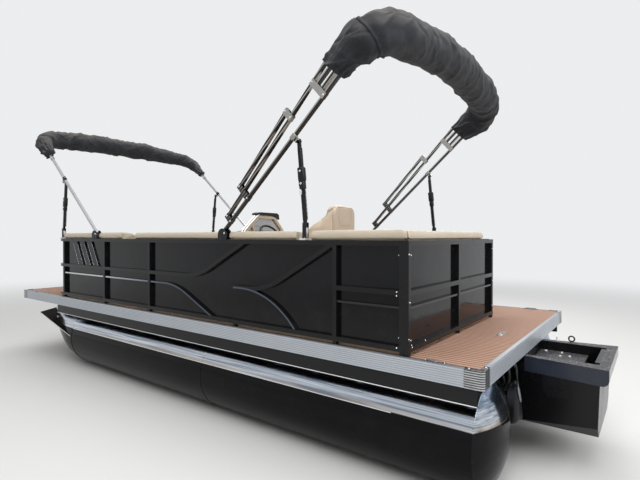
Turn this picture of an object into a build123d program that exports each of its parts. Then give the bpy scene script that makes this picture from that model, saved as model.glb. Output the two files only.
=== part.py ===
"""A two-tube pontoon boat with fences, lounges, helm and two folded bimini tops.

Millimetres. X runs forward to the bow, Y to port, Z up. The origin lies on the
ground under the middle of the boat, which stands on its two tubes.
"""
import os
from math import asin, cos, degrees, radians, sin, sqrt

from build123d import *

# Hull and deck
DECK_LENGTH = 6100
BEAM = 2440
POD_OVERHANG = 500
TUBE_DIAMETER = 686
TUBE_SPACING = 1640
RISER_LIFT = 47
CROSS_HEIGHT = 76
CROSS_FLANGE = 38
CROSS_WALL = 4
CROSS_PITCH = 400
DECK_BOARD = 20
COVERING = 6
RIB_PITCH = 40
RIB_GROOVE = 6

# Edge trim and skirt
TRIM_HEIGHT = 105
TRIM_WIDTH = 30
TRIM_LIP = 3
TRIM_SETBACK = 2
TRIM_RIB_PITCH = 13
TRIM_RIB_DEPTH = 3
CORNER_LEG = 110
CORNER_RADIUS = 25
SKIRT_HEIGHT = 92
SKIRT_WALL = 4
SKIRT_FLANGE = 50
SKIRT_FORE_GAP = 1000
LEDGE_HEIGHT = 6

# Tubes
TUBE_STERN_GAP = 84
CAP_DEPTH = 105
CYLINDER_LENGTH = 4756
NOSE_LENGTH = 1120
STRAKE_WIDTH = 12
STRAKE_THICKNESS = 5
STRAKE_AFT_GAP = 504
PAINT_LINE = 462

# Fence
FENCE_INSET = 30
FENCE_TUBE = 32
FENCE_HEIGHT = 698
FENCE_GAP = 25
BOTTOM_RAIL = 32
WIDE_RAIL_CENTRE = 382
WIDE_RAIL = 32
THIN_RAIL_CENTRE = 292
THIN_RAIL = 14
STERN_DECK = 450
BOW_DECK = 850
FENCE_CORNER_RADIUS = 260
GATE_WIDTH = 790
PANEL = 3
STERN_OPENING = 670
STERN_POST = 314
STARBOARD_SETBACK = 230

# Fence posts and slats, from the fence's bow corner aft and from its stern end forward
FORE_POST_GAP = 20
FORE_BAY = 950
MIDDLE_BAY = 847
AFT_BAY = 542
SLAT_SETBACK = 250
SLAT_PITCH = 173
SLAT_WIDTH = 100
SLAT_LEAN = 150
SLAT_THICKNESS = 14
SPARE_FOOT = 984
FOOT_INSET = 2

# Seats
SEAT_BASE_HEIGHT = 300
SEAT_HEIGHT = 430
SEAT_DEPTH = 560
BACK_HEIGHT = 767
BACK_THICKNESS = 150
ENTRY_FORE = 340
ENTRY_AFT = 267
PORT_SEAM = 290
STERN_SEAT_INSET = 250
STERN_SEAM = 869

# Bimini tops
PIVOT_HEIGHT = 770
BOW_TUBE = 25
REAR_PIVOT = 2100
REAR_LEAN = 42
FRONT_PIVOT = 1900
FRONT_LEAN = 40
ARM_LENGTH = 1530
HOOP_SHOULDER = 1690
HOOP_RADIUS = 250
HOOP_TURN = 80

RUN = 0.05

# Places that follow from the sizes above
BOW = (DECK_LENGTH + POD_OVERHANG) / 2
STERN = BOW - DECK_LENGTH
TUBE_R = TUBE_DIAMETER / 2
TUBE_Y = TUBE_SPACING / 2
CROSS_BOTTOM = TUBE_DIAMETER + RISER_LIFT
BOARD_BOTTOM = CROSS_BOTTOM + CROSS_HEIGHT
BOARD_TOP = BOARD_BOTTOM + DECK_BOARD
DECK = BOARD_TOP + COVERING
TRIM_TOP = DECK + TRIM_LIP
TRIM_BOTTOM = TRIM_TOP - TRIM_HEIGHT
HALF_BEAM = BEAM / 2
TRIM_OUT = HALF_BEAM - TRIM_SETBACK
DECK_HALF = TRIM_OUT - TRIM_WIDTH
DECK_FORE = BOW - TRIM_SETBACK - TRIM_WIDTH
DECK_AFT = STERN + TRIM_SETBACK + TRIM_WIDTH
TUBE_STERN = STERN + TUBE_STERN_GAP
TUBE_FRONT = TUBE_STERN + CYLINDER_LENGTH
FENCE_OUT = HALF_BEAM - FENCE_INSET
FENCE_IN = FENCE_OUT - FENCE_TUBE
FENCE_STERN = STERN + STERN_DECK
FENCE_BOW = BOW - BOW_DECK
FENCE_BASE = DECK + FENCE_GAP
FENCE_TOP = DECK + FENCE_HEIGHT
ARC_START = FENCE_BOW - FENCE_CORNER_RADIUS
PANEL_IN = FENCE_IN - PANEL
GATE_POST_Y = GATE_WIDTH / 2 + 5
STERN_END_Y = STERN_OPENING - FENCE_OUT
PORT_END = FENCE_STERN + FENCE_TUBE
STARBOARD_END = FENCE_STERN + STARBOARD_SETBACK
POST_1 = ARC_START - FORE_POST_GAP
POST_2 = POST_1 - FORE_BAY
POST_3 = POST_2 - MIDDLE_BAY
POST_4 = FENCE_STERN + AFT_BAY


def block(x0, x1, y0, y1, z0, z1):
    """A box between two corners."""
    centre = Pos((x0 + x1) / 2, (y0 + y1) / 2, (z0 + z1) / 2)
    return centre * Box(abs(x1 - x0), abs(y1 - y0), abs(z1 - z0))


def starboard(shape):
    """The same shape on the other side of the centreline."""
    return mirror(shape, about=Plane.XZ)


def along_x(points, x0, x1):
    """A (y, z) outline drawn out from x0 to x1."""
    face = make_face(Polyline(*points, close=True))
    plane = Plane(origin=(x0, 0, 0), x_dir=(0, 1, 0), z_dir=(1, 0, 0))
    return extrude(plane * face, amount=x1 - x0)


def along_y(points, y0, y1):
    """An (x, z) outline drawn out from y0 to y1."""
    face = make_face(Polyline(*points, close=True))
    plane = Plane(origin=(0, y0, 0), x_dir=(1, 0, 0), z_dir=(0, -1, 0))
    return extrude(plane * face, amount=-(y1 - y0))


def along_z(points, z0, z1):
    """An (x, y) outline drawn out from z0 to z1."""
    face = make_face(Polyline(*points, close=True))
    return extrude(Pos(0, 0, z0) * face, amount=z1 - z0)


def rod(radius, start, end):
    """A round bar between two points."""
    start = Vector(*start)
    end = Vector(*end)
    plane = Plane(origin=start, z_dir=end - start)
    return extrude(plane * Circle(radius), amount=(end - start).length)


def save(name, *shapes):
    """Write one node."""
    solids = [solid for shape in shapes for solid in shape.solids()]
    whole = solids[0] if len(solids) == 1 else Compound(children=solids)
    export_step(whole, f"parts/{name}.step")


# Tubes

def nose_section(x, half_width, top, middle, bottom, fullness):
    """One closed section of the nosecone, of four arcs."""
    low_y = half_width * sqrt(0.5) * fullness
    low_z = middle - (middle - bottom) * sqrt(0.5) * fullness
    high_y = half_width * sqrt(0.5)
    high_z = middle + (top - middle) * sqrt(0.5)
    outline = [
        ThreePointArc((half_width, middle), (high_y, high_z), (0, top)),
        ThreePointArc((0, top), (-high_y, high_z), (-half_width, middle)),
        ThreePointArc((-half_width, middle), (-low_y, low_z), (0, bottom)),
        ThreePointArc((0, bottom), (low_y, low_z), (half_width, middle)),
    ]
    plane = Plane(origin=(x, 0, 0), x_dir=(0, 1, 0), z_dir=(1, 0, 0))
    return plane * make_face(outline)


# Share of the nose's length, then half width, top, widest level and bottom as shares
# of the tube's radius, and fullness
NOSE = [
    (0.0, 1.0, 2.0, 1.0, 0.0, 1.0),
    (0.135, 0.98, 2.0, 1.03, 0.05, 1.0),
    (0.39, 0.83, 1.99, 1.2, 0.34, 0.98),
    (0.68, 0.56, 1.96, 1.47, 0.86, 0.94),
    (0.89, 0.3, 1.9, 1.68, 1.3, 0.9),
    (1.0, 0.05, 1.842, 1.8, 1.726, 0.9),
]


def nose():
    """The nosecone, its sections drawn up and in towards the tip."""
    sections = []
    for along, half, top, middle, bottom, fullness in NOSE:
        x = TUBE_FRONT + along * NOSE_LENGTH
        sizes = [share * TUBE_R for share in (half, top, middle, bottom)]
        sections.append(nose_section(x, *sizes, fullness))
    return loft(sections)


def tube():
    """One float on the centreline, with its domed cap and its nosecone."""
    barrel = rod(TUBE_R, (TUBE_STERN, 0, TUBE_R), (TUBE_FRONT, 0, TUBE_R))
    dome_r = (TUBE_R ** 2 + CAP_DEPTH ** 2) / (2 * CAP_DEPTH)
    half_cap = make_face(
        [
            Line((0, 0), (0, TUBE_R)),
            RadiusArc((0, TUBE_R), (-CAP_DEPTH, 0), -dome_r),
            Line((-CAP_DEPTH, 0), (0, 0)),
        ]
    )
    cap = Pos(TUBE_STERN, 0, TUBE_R) * revolve(half_cap, axis=Axis.X)
    return barrel + cap + nose()


FLOAT = tube()
EYE_PLATE = 10
EYE_HOLE = 10
EYE_LUG = 26
EYE_X = TUBE_FRONT + NOSE_LENGTH - 10
EYE_Z = TUBE_R + 187


def port_tube():
    """The port float with the towing eye under its tip."""
    plate = block(EYE_X - 120, EYE_X, -EYE_PLATE / 2, EYE_PLATE / 2, EYE_Z - EYE_LUG, EYE_Z + EYE_LUG)
    lug = rod(EYE_LUG, (EYE_X, -EYE_PLATE / 2, EYE_Z), (EYE_X, EYE_PLATE / 2, EYE_Z))
    hole = rod(EYE_HOLE, (EYE_X, -EYE_PLATE, EYE_Z), (EYE_X, EYE_PLATE, EYE_Z))
    return Pos(0, TUBE_Y, 0) * (FLOAT + plate + lug - hole)


def risers():
    """The long saddles between each tube and the cross members."""
    half = 60
    wall = 5
    top = CROSS_BOTTOM
    x0 = TUBE_STERN + 40
    x1 = TUBE_FRONT - 20
    saddle = block(x0, x1, -half, half, top - wall, top)
    for side in (-1, 1):
        inner = side * (half - 10)
        leg = block(x0, x1, inner, inner + side * wall, TUBE_DIAMETER - 20, top - wall)
        saddle += leg
    saddle -= FLOAT
    return [Pos(0, side * TUBE_Y, 0) * saddle for side in (1, -1)]


def strakes():
    """The spray lip along the outboard side of each tube, at the paint line."""
    angle = degrees(asin((PAINT_LINE - TUBE_R) / TUBE_R))
    x0 = TUBE_STERN + STRAKE_AFT_GAP
    x1 = TUBE_FRONT - 20
    bar = block(x0, x1, TUBE_R - 20, TUBE_R + STRAKE_WIDTH, -STRAKE_THICKNESS, 0)
    lip = Pos(0, 0, TUBE_R) * Rot(angle, 0, 0) * bar - FLOAT
    port = Pos(0, TUBE_Y, 0) * lip
    return [port, starboard(port)]


def spray_guard():
    """The flat plate that stands out from the port nosecone."""
    thickness = 5
    tip = Vector(TUBE_FRONT + 0.93 * NOSE_LENGTH, TUBE_Y, TUBE_R + 245)
    wing = Vector(TUBE_FRONT + 0.72 * NOSE_LENGTH, TUBE_Y + TUBE_R + 27, TUBE_R + 230)
    root = Vector(TUBE_FRONT + 22, TUBE_Y + TUBE_R + 1, TUBE_R + 18)
    face = Face(Wire.make_polygon([tip, wing, root], close=True))
    plate = extrude(face, amount=thickness)
    plate -= Pos(0, TUBE_Y, 0) * FLOAT
    return max(plate.solids(), key=lambda solid: solid.volume)


# Deck

def cross_members():
    """Channels across both tubes."""
    inner_x = CROSS_FLANGE - CROSS_WALL
    members = []
    count = int((DECK_LENGTH - 300) // CROSS_PITCH) + 1
    half = DECK_HALF - 5
    for index in range(count):
        x = STERN + 150 + index * CROSS_PITCH
        outer = block(x, x + CROSS_FLANGE, -half, half, CROSS_BOTTOM, BOARD_BOTTOM)
        low = CROSS_BOTTOM + CROSS_WALL
        high = BOARD_BOTTOM - CROSS_WALL
        hollow = block(x, x + inner_x, -half, half, low, high)
        members.append(outer - hollow)
    return members


def deck_covering():
    """Ribbed planking, its grooves running fore and aft."""
    half = DECK_HALF
    depth = 2
    points = [(half, BOARD_TOP), (-half, BOARD_TOP)]
    y = -half
    while y < half - RIB_PITCH / 2:
        crest = min(y + RIB_PITCH - RIB_GROOVE, half)
        points += [(y, DECK), (crest, DECK)]
        if crest < half:
            points += [(crest, DECK - depth), (crest + RIB_GROOVE, DECK - depth)]
        y += RIB_PITCH
    points.append((half, DECK))
    unique = [p for i, p in enumerate(points) if i == 0 or p != points[i - 1]]
    return along_x(unique, DECK_AFT, DECK_FORE)


def rib_levels():
    """Bottom and top of each rib of the edge trim."""
    count = int(TRIM_HEIGHT // TRIM_RIB_PITCH)
    first = TRIM_TOP - count * TRIM_RIB_PITCH
    half = TRIM_RIB_PITCH / 2
    return [(first + i * TRIM_RIB_PITCH, first + i * TRIM_RIB_PITCH + half) for i in range(count)]


def trim_outline(outer):
    """Section of the trim, its ribbed face at the outer edge."""
    inner = outer - TRIM_WIDTH
    groove = outer - TRIM_RIB_DEPTH
    points = [(inner, TRIM_BOTTOM), (groove, TRIM_BOTTOM)]
    for low, high in rib_levels():
        points += [(groove, low), (outer, low), (outer, high), (groove, high)]
    points += [(groove, TRIM_TOP), (inner, TRIM_TOP)]
    return points


def side_trim():
    """The port trim, between its corner castings."""
    return along_x(trim_outline(TRIM_OUT), STERN + CORNER_LEG, BOW - CORNER_LEG)


def end_trim(edge, sign):
    """The trim across the bow or the stern."""
    half = HALF_BEAM - CORNER_LEG
    points = [(edge + sign * (y - HALF_BEAM), z) for y, z in trim_outline(TRIM_OUT)]
    return along_y(points, -half, half)


def casting_layer(inset, z0, z1):
    """A slice of a corner casting: an L with its rounded corner at the origin."""
    edge = -inset
    curve = CORNER_RADIUS - inset
    bend = edge - curve * (1 - sqrt(0.5))
    leg = CORNER_LEG
    inner = TRIM_WIDTH + TRIM_SETBACK
    outline = [
        Line((-leg, edge), (edge - curve, edge)),
        ThreePointArc((edge - curve, edge), (bend, bend), (edge, edge - curve)),
        Line((edge, edge - curve), (edge, -leg)),
        Line((edge, -leg), (-inner, -leg)),
        Line((-inner, -leg), (-inner, -inner)),
        Line((-inner, -inner), (-leg, -inner)),
        Line((-leg, -inner), (-leg, edge)),
    ]
    return extrude(Pos(0, 0, z0) * make_face(outline), amount=z1 - z0)


def trim_corners():
    """The four ribbed corner castings."""
    casting = casting_layer(TRIM_RIB_DEPTH, TRIM_BOTTOM, TRIM_TOP)
    for low, high in rib_levels():
        casting += casting_layer(0, low, high)
    casting += casting_layer(0, TRIM_TOP, TRIM_TOP + TRIM_LIP)
    port_bow = Pos(BOW, HALF_BEAM, 0) * casting
    port_stern = Pos(STERN, HALF_BEAM, 0) * mirror(casting, about=Plane.YZ)
    return [port_bow, starboard(port_bow), port_stern, starboard(port_stern)]


def skirt():
    """The black skirt under the port trim."""
    outer = HALF_BEAM - 16
    top = TRIM_BOTTOM
    bottom = top - SKIRT_HEIGHT
    inner = outer - SKIRT_WALL
    points = [(outer - SKIRT_FLANGE, top), (outer - SKIRT_FLANGE, top - SKIRT_WALL)]
    points += [(inner, top - SKIRT_WALL), (inner, bottom), (outer, bottom), (outer, top)]
    return along_x(points, STERN + 40, BOW - SKIRT_FORE_GAP)


def ledge():
    """The bright edging along the foot of the port skirt."""
    outer = HALF_BEAM - 10
    top = TRIM_BOTTOM - SKIRT_HEIGHT
    return block(STERN + 40, BOW - SKIRT_FORE_GAP, outer - 14, outer, top - LEDGE_HEIGHT, top)


# Motor pod

POD_FRONT = STERN + 500
POD_AFT = STERN - POD_OVERHANG
POD_TOP = DECK - 105
POD_BOTTOM = 280
POD_WIDTH_AFT = 780
POD_WIDTH_DECK = 630
POD_TUCK = 50
POD_RAKE = 12
BILGE = 90
RIM_BAND = 100
RIM_WALL = 12
RIM_LIP = 5
RIM_ROUND = 42
WELL_DEPTH = 250
WELL_HALF = 268
WELL_AFT = POD_AFT + 62
WELL_FRONT = WELL_AFT + 113
STEP_DEPTH = 68
STEP_FRONT = STERN + 12
MAT = 4
BOARD_THICKNESS = 30
BOLT_SPACING = 327
BOLT_HOLE = 6.5
BOLT_Z = POD_TOP - 34


def pod_plan(aft_x, grow):
    """The pod from above, widening aft, grown by the thickness of its band."""
    flare = (POD_WIDTH_AFT - POD_WIDTH_DECK) / 2 / POD_OVERHANG
    aft = POD_WIDTH_AFT / 2 - RIM_WALL + grow
    front = aft - flare * (POD_FRONT - aft_x)
    return [(aft_x, -aft), (POD_FRONT, -front), (POD_FRONT, front), (aft_x, aft)]


def pod_recess():
    """The splash well at the aft end and the shallow step ahead of it."""
    top = POD_TOP + 50
    well = block(WELL_AFT, WELL_FRONT, -WELL_HALF, WELL_HALF, POD_TOP - WELL_DEPTH, top)
    step = block(WELL_FRONT, STEP_FRONT, -WELL_HALF, WELL_HALF, POD_TOP - STEP_DEPTH, top)
    return well + step


def motor_pod():
    """The motor pod, tucked in under its rim, with its well and step."""
    aft = POD_AFT + POD_TUCK
    half = POD_WIDTH_AFT
    under = STERN + 40
    plan = along_z(pod_plan(aft, 0), POD_BOTTOM, CROSS_BOTTOM)
    side = along_y(
        [
            (POD_FRONT, CROSS_BOTTOM),
            (under, CROSS_BOTTOM),
            (under, POD_TOP),
            (aft, POD_TOP),
            (aft, POD_TOP - RIM_BAND),
            (aft + POD_RAKE, POD_BOTTOM),
            (POD_FRONT - 150, POD_BOTTOM),
            (POD_FRONT, POD_BOTTOM + 120),
        ],
        -half,
        half,
    )
    keel = POD_WIDTH_AFT / 2 - BILGE
    section = along_x(
        [(-half, CROSS_BOTTOM), (half, CROSS_BOTTOM), (half, POD_BOTTOM + half - keel), (keel, POD_BOTTOM),
         (-keel, POD_BOTTOM), (-half, POD_BOTTOM + half - keel)],
        POD_AFT,
        POD_FRONT,
    )
    return (plan & side & section) - pod_recess()


POD = motor_pod()


def motor_bolts():
    """The upper pair of motor bolt holes, as the rods to cut away."""
    x0 = POD_AFT - 5
    x1 = WELL_AFT + BOARD_THICKNESS + 5
    sides = (BOLT_SPACING / 2, -BOLT_SPACING / 2)
    return [rod(BOLT_HOLE, (x0, y, BOLT_Z), (x1, y, BOLT_Z)) for y in sides]


def pod_rim():
    """The non-skid band and flange around the pod's top, rounded under at the stern."""
    low = POD_TOP - RIM_BAND
    band = along_z(pod_plan(POD_AFT, RIM_WALL), low, POD_TOP + RIM_LIP)
    foot_edge = band.edges().group_by(Axis.Z)[0].sort_by(Axis.X)[0]
    band = fillet(foot_edge, RIM_ROUND)
    half = POD_WIDTH_AFT
    front = block(STERN, POD_FRONT + 1, -half, half, low, POD_TOP + RIM_LIP)
    return band - front - pod_recess() - POD


def pod_mat():
    """The non-skid mat on the step."""
    z = POD_TOP - STEP_DEPTH
    half = WELL_HALF - 8
    return block(WELL_FRONT + 4, STEP_FRONT - 8, -half, half, z, z + MAT)


def motor_board():
    """The board the motor's clamps close on, against the well's aft wall."""
    low = POD_TOP - WELL_DEPTH
    return block(WELL_AFT, WELL_AFT + BOARD_THICKNESS, -220, 220, low, POD_TOP + RIM_LIP)


# Fence

POSTS = [POST_1, POST_2, POST_3, POST_4]
RAILS = [
    (FENCE_BASE, FENCE_BASE + BOTTOM_RAIL),
    (DECK + WIDE_RAIL_CENTRE - WIDE_RAIL / 2, DECK + WIDE_RAIL_CENTRE + WIDE_RAIL / 2),
    (FENCE_TOP - FENCE_TUBE, FENCE_TOP),
]
THIN = (DECK + THIN_RAIL_CENTRE - THIN_RAIL / 2, DECK + THIN_RAIL_CENTRE + THIN_RAIL / 2)
ACCENT_SETBACK = 6

# Where each bend starts, its level above the deck, its radius and how far it turns
RISING = [
    (POST_3 - 573, WIDE_RAIL_CENTRE, 700, 27.5),
    (POST_4 + 828, WIDE_RAIL_CENTRE - 65, 700, 29.7),
]
FALLING = [
    (POST_3 - 243, THIN_RAIL_CENTRE, 750, 25.7),
    (POST_4 + 913, THIN_RAIL_CENTRE + 23, 730, 60),
]
RISING_TIP = POST_4 + 983
FALLING_TIP = POST_4 + 998


def bend(x, level, radius, turn, width, up, y0, y1):
    """A strip that leaves the level at x, bends aft up or down, and runs on straight."""
    sign = 1 if up else -1
    start = Vector(x, level)
    angle = radians(turn)
    arc_end = Vector(x - radius * sin(angle), level + sign * radius * (1 - cos(angle)))
    half_turn = angle / 2
    middle = Vector(x - radius * sin(half_turn), level + sign * radius * (1 - cos(half_turn)))
    far = arc_end + Vector(-cos(angle), sign * sin(angle)) * FENCE_HEIGHT
    arc = ThreePointArc(start, middle, arc_end)
    path = Wire([arc.edge(), Line(arc_end, far).edge()])
    strip = offset(path, width / 2, side=Side.BOTH)
    plane = Plane(origin=(0, y0, 0), x_dir=(1, 0, 0), z_dir=(0, -1, 0))
    return extrude(plane * make_face(strip), amount=-(y1 - y0))


def side_frame(aft):
    """The straight port frame, from the given aft end to the corner's arc."""
    y0, y1 = FENCE_IN, FENCE_OUT
    low, wide, top = RAILS
    frame = block(aft, ARC_START, y0, y1, *low)
    frame += block(aft, ARC_START, y0, y1, *top)
    for x in POSTS:
        frame += block(x - FENCE_TUBE / 2, x + FENCE_TUBE / 2, y0, y1, low[0], FENCE_TOP)
    frame += block(RISING[0][0], ARC_START, y0, y1, *wide)
    frame += block(aft, POST_4, y0, y1, *wide)
    room = block(POST_4, POST_3, y0, y1, low[1], FENCE_TOP)
    x, level, radius, turn = RISING[0]
    frame += bend(x, DECK + level, radius, turn, WIDE_RAIL, True, y0, y1) & room
    frame += second_rise(y0, y1) & room
    return frame + block(aft, aft + FENCE_TUBE, y0, y1, low[0], FENCE_TOP)


def second_rise(y0, y1):
    """The aft rising strip, its fore end mitred to a point on the falling strip."""
    x, level, radius, turn = RISING[1]
    low = DECK + level - WIDE_RAIL / 2
    strip = bend(x, DECK + level, radius, turn, WIDE_RAIL, True, y0, y1)
    strip += block(x, RISING_TIP, y0, y1, low, low + WIDE_RAIL)
    x, level, radius, _ = FALLING[1]
    reach = radius + THIN_RAIL / 2
    top = DECK + level + THIN_RAIL / 2
    under = Pos(x, (y0 + y1) / 2, top - reach) * Rot(90, 0, 0) * Cylinder(reach, 4 * FENCE_TUBE)
    under += block(x, RISING_TIP + 1, y0 - FENCE_TUBE, y1 + FENCE_TUBE, top - WIDE_RAIL, top)
    return strip - under


def side_accents(aft):
    """The thin bright rail of the port side and its two falling sweeps."""
    y1 = FENCE_OUT - ACCENT_SETBACK
    y0 = FENCE_IN
    low, wide, _ = RAILS
    half = FENCE_TUBE / 2
    pieces = [
        block(POST_2 + half, POST_1 - half, y0, y1, *THIN),
        block(POST_3 + half, POST_2 - half, y0, y1, *THIN),
        block(aft + FENCE_TUBE, POST_4 - half, y0, y1, *THIN),
    ]
    room = block(POST_4 + half, POST_3 - half, y0, y1, low[1], wide[0])
    ends = (POST_3 - half, FALLING_TIP)
    for end, (x, level, radius, turn) in zip(ends, FALLING):
        sweep = bend(x, DECK + level, radius, turn, THIN_RAIL, False, y0, y1)
        z = DECK + level - THIN_RAIL / 2
        pieces.append((sweep + block(x, end, y0, y1, z, z + THIN_RAIL)) & room)
    return pieces


def slats():
    """Three leaning slats in the port side's foremost bay."""
    z0 = RAILS[1][1]
    z1 = RAILS[2][0]
    half = SLAT_WIDTH / 2
    pieces = []
    for index in range(3):
        x = POST_1 - SLAT_SETBACK - index * SLAT_PITCH
        foot_x = x - SLAT_LEAN
        points = [(foot_x - half, z0), (foot_x + half, z0), (x + half, z1), (x - half, z1)]
        pieces.append(along_y(points, FENCE_IN, FENCE_IN + SLAT_THICKNESS))
    return pieces


def side_panels(aft):
    """The sheets on the inboard face of the port frame, one for each bay."""
    seam = 2
    edges = [ARC_START, POST_2, POST_3, POST_4, aft + FENCE_TUBE]
    z0 = FENCE_BASE
    sheets = []
    for fore, back_x in zip(edges, edges[1:]):
        x0, x1 = back_x + seam / 2, fore - seam / 2
        sheets.append(block(x0, x1, PANEL_IN, FENCE_IN, z0, FENCE_TOP))
    return sheets


def bow_band(outer, inner, z0, z1, y_end):
    """A level band round the port bow corner, between two offsets of the fence."""
    centre = ARC_START, FENCE_OUT - FENCE_CORNER_RADIUS
    r1 = outer - centre[1]
    r0 = inner - centre[1]
    ring = Pos(centre[0], centre[1], (z0 + z1) / 2) * Cylinder(r1, z1 - z0)
    ring -= Pos(centre[0], centre[1], (z0 + z1) / 2) * Cylinder(r0, 2 * (z1 - z0))
    quarter = ring & block(ARC_START, FENCE_BOW + 1, centre[1], FENCE_OUT + 1, z0, z1)
    x1 = FENCE_BOW - (FENCE_OUT - outer)
    x0 = FENCE_BOW - (FENCE_OUT - inner)
    return quarter + block(x0, x1, y_end, centre[1], z0, z1)


def bow_frame():
    """The port bow frame: the rounded corner and the run to the gate."""
    end = GATE_POST_Y
    frame = None
    for z0, z1 in RAILS:
        band = bow_band(FENCE_OUT, FENCE_IN, z0, z1, end)
        frame = band if frame is None else frame + band
    x0 = FENCE_BOW - FENCE_TUBE
    z0 = RAILS[0][0]
    for y in (end, FENCE_OUT - FENCE_CORNER_RADIUS - FENCE_TUBE):
        frame += block(x0, FENCE_BOW, y, y + FENCE_TUBE, z0, FENCE_TOP)
    return frame


def bow_panels():
    """The sheet behind the port bow frame."""
    end = GATE_POST_Y + FENCE_TUBE
    return bow_band(FENCE_IN, PANEL_IN, FENCE_BASE, FENCE_TOP, end)


def stern_frame():
    """The frame across the stern, from the corner post to the opening."""
    x0 = FENCE_STERN
    x1 = x0 + FENCE_TUBE
    frame = None
    for z0, z1 in RAILS:
        rail = block(x0, x1, STERN_END_Y, FENCE_OUT, z0, z1)
        frame = rail if frame is None else frame + rail
    for y in (STERN_END_Y, STERN_POST, FENCE_IN):
        frame += block(x0, x1, y, y + FENCE_TUBE, RAILS[0][0], FENCE_TOP)
    return frame


def stern_panels():
    """The sheets inside the stern frame."""
    x0 = FENCE_STERN + FENCE_TUBE
    split = STERN_POST + FENCE_TUBE / 2
    z = (FENCE_BASE, FENCE_TOP)
    return [
        block(x0, x0 + PANEL, STERN_END_Y, split - 1, *z),
        block(x0, x0 + PANEL, split + 1, PANEL_IN - 1, *z),
    ]


def stern_accents():
    """The thin bright rails of the stern frame."""
    x0 = FENCE_STERN + ACCENT_SETBACK
    x1 = FENCE_STERN + FENCE_TUBE
    return [
        block(x0, x1, STERN_END_Y + FENCE_TUBE, STERN_POST, *THIN),
        block(x0, x1, STERN_POST + FENCE_TUBE, FENCE_IN, *THIN),
    ]


def feet():
    """The short black feet that carry the fence on the deck."""
    size = FENCE_TUBE - 2 * FOOT_INSET
    half = FENCE_TUBE / 2
    pieces = []
    y = FENCE_OUT - half
    for x in POSTS + [POST_4 + SPARE_FOOT]:
        pieces += [foot(x, y, size), foot(x, -y, size)]
    pieces += [foot(PORT_END + half, y, size), foot(STARBOARD_END + half, -y, size)]
    x = FENCE_BOW - half
    inner = GATE_POST_Y + half
    outer = FENCE_OUT - FENCE_CORNER_RADIUS - half
    for y in (inner, outer, -inner, -outer):
        pieces.append(foot(x, y, size))
    for y in (STERN_END_Y + half, STERN_POST + half, FENCE_IN + half):
        pieces.append(foot(FENCE_STERN + half, y, size))
    return pieces


def foot(x, y, size):
    """One foot under a post."""
    half = size / 2
    return block(x - half, x + half, y - half, y + half, DECK, FENCE_BASE)


# Bow gate

GATE_GAP = 12
HINGE_PIN = 4
HINGE_BARREL = 8
HINGE_LEAF = 4
HINGE_X = FENCE_BOW - FENCE_TUBE - HINGE_BARREL
HINGE_Y = GATE_POST_Y - GATE_GAP / 2
HINGE_LEVELS = [DECK + 150, DECK + 560]
KNUCKLE = 24


def gate_frame():
    """The bow gate's frame with the moving knuckles of its hinges."""
    x0 = FENCE_BOW - FENCE_TUBE
    x1 = FENCE_BOW
    y1 = GATE_POST_Y - GATE_GAP
    y0 = -y1
    frame = None
    for z0, z1 in RAILS:
        rail = block(x0, x1, y0, y1, z0, z1)
        frame = rail if frame is None else frame + rail
    for y in (y0, y1 - FENCE_TUBE):
        frame += block(x0, x1, y, y + FENCE_TUBE, RAILS[0][0], FENCE_TOP)
    for z in HINGE_LEVELS:
        barrel = rod(HINGE_BARREL, (HINGE_X, HINGE_Y, z), (HINGE_X, HINGE_Y, z + KNUCKLE))
        leaf = block(x0 - HINGE_LEAF, x0, y1 - 30, HINGE_Y, z, z + KNUCKLE)
        bore = rod(HINGE_PIN + RUN, (HINGE_X, HINGE_Y, z - 1), (HINGE_X, HINGE_Y, z + KNUCKLE + 1))
        frame += barrel + leaf
        frame -= bore
    return frame


def gate_panel():
    """The gate's sheet, inside the frame's opening."""
    x0 = FENCE_BOW - FENCE_TUBE + 4
    y1 = GATE_POST_Y - GATE_GAP - FENCE_TUBE
    sheets = []
    for low, high in zip(RAILS, RAILS[1:]):
        sheets.append(block(x0, x0 + PANEL, -y1, y1, low[1], high[0]))
    return sheets


def gate_hinges():
    """Fixed knuckles and pins on the port gate post."""
    x0 = FENCE_BOW - FENCE_TUBE
    pieces = []
    for z in HINGE_LEVELS:
        low = z - 1 - KNUCKLE
        high = z + KNUCKLE + 1
        pin = rod(HINGE_PIN, (HINGE_X, HINGE_Y, low), (HINGE_X, HINGE_Y, high + KNUCKLE))
        whole = pin
        for base in (low, high):
            barrel = rod(HINGE_BARREL, (HINGE_X, HINGE_Y, base), (HINGE_X, HINGE_Y, base + KNUCKLE))
            leaf = block(x0 - HINGE_LEAF, x0, HINGE_Y, HINGE_Y + 35, base, base + KNUCKLE)
            whole += barrel + leaf
        pieces.append(whole)
    return pieces


# Seats

BACK_IN = PANEL_IN - BACK_THICKNESS
SEAT_GAP = 1
SEAT_AFT = FENCE_STERN + FENCE_TUBE + PANEL + SEAT_GAP
PORT_FORE = POST_3 + ENTRY_AFT
BOW_SEAT_FORE = ARC_START - 10
BOW_SEAT_AFT = POST_2 - ENTRY_FORE
SEAT_EDGE = PANEL_IN - SEAT_DEPTH
STERN_SEAT_FRONT = FENCE_STERN + FENCE_TUBE + PANEL + SEAT_DEPTH
STERN_SEAT_END = STERN_END_Y + STERN_SEAT_INSET
CUSHION_GAP = 55
SEAM = 6


def lounge_base(x0, x1, y0, y1):
    """A seat base with a recessed toe kick."""
    kick = 60
    upper = block(x0, x1, y0, y1, DECK + 80, DECK + SEAT_BASE_HEIGHT)
    lower = block(x0, x1, y0 + kick, y1, DECK, DECK + 80)
    return upper + lower


def seat_pad(x0, x1, y0, y1):
    """A seat cushion with rounded upper edges."""
    pad = block(x0, x1, y0, y1, DECK + SEAT_BASE_HEIGHT, DECK + SEAT_HEIGHT)
    return fillet(pad.edges().group_by(Axis.Z)[-1], 25)


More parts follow.
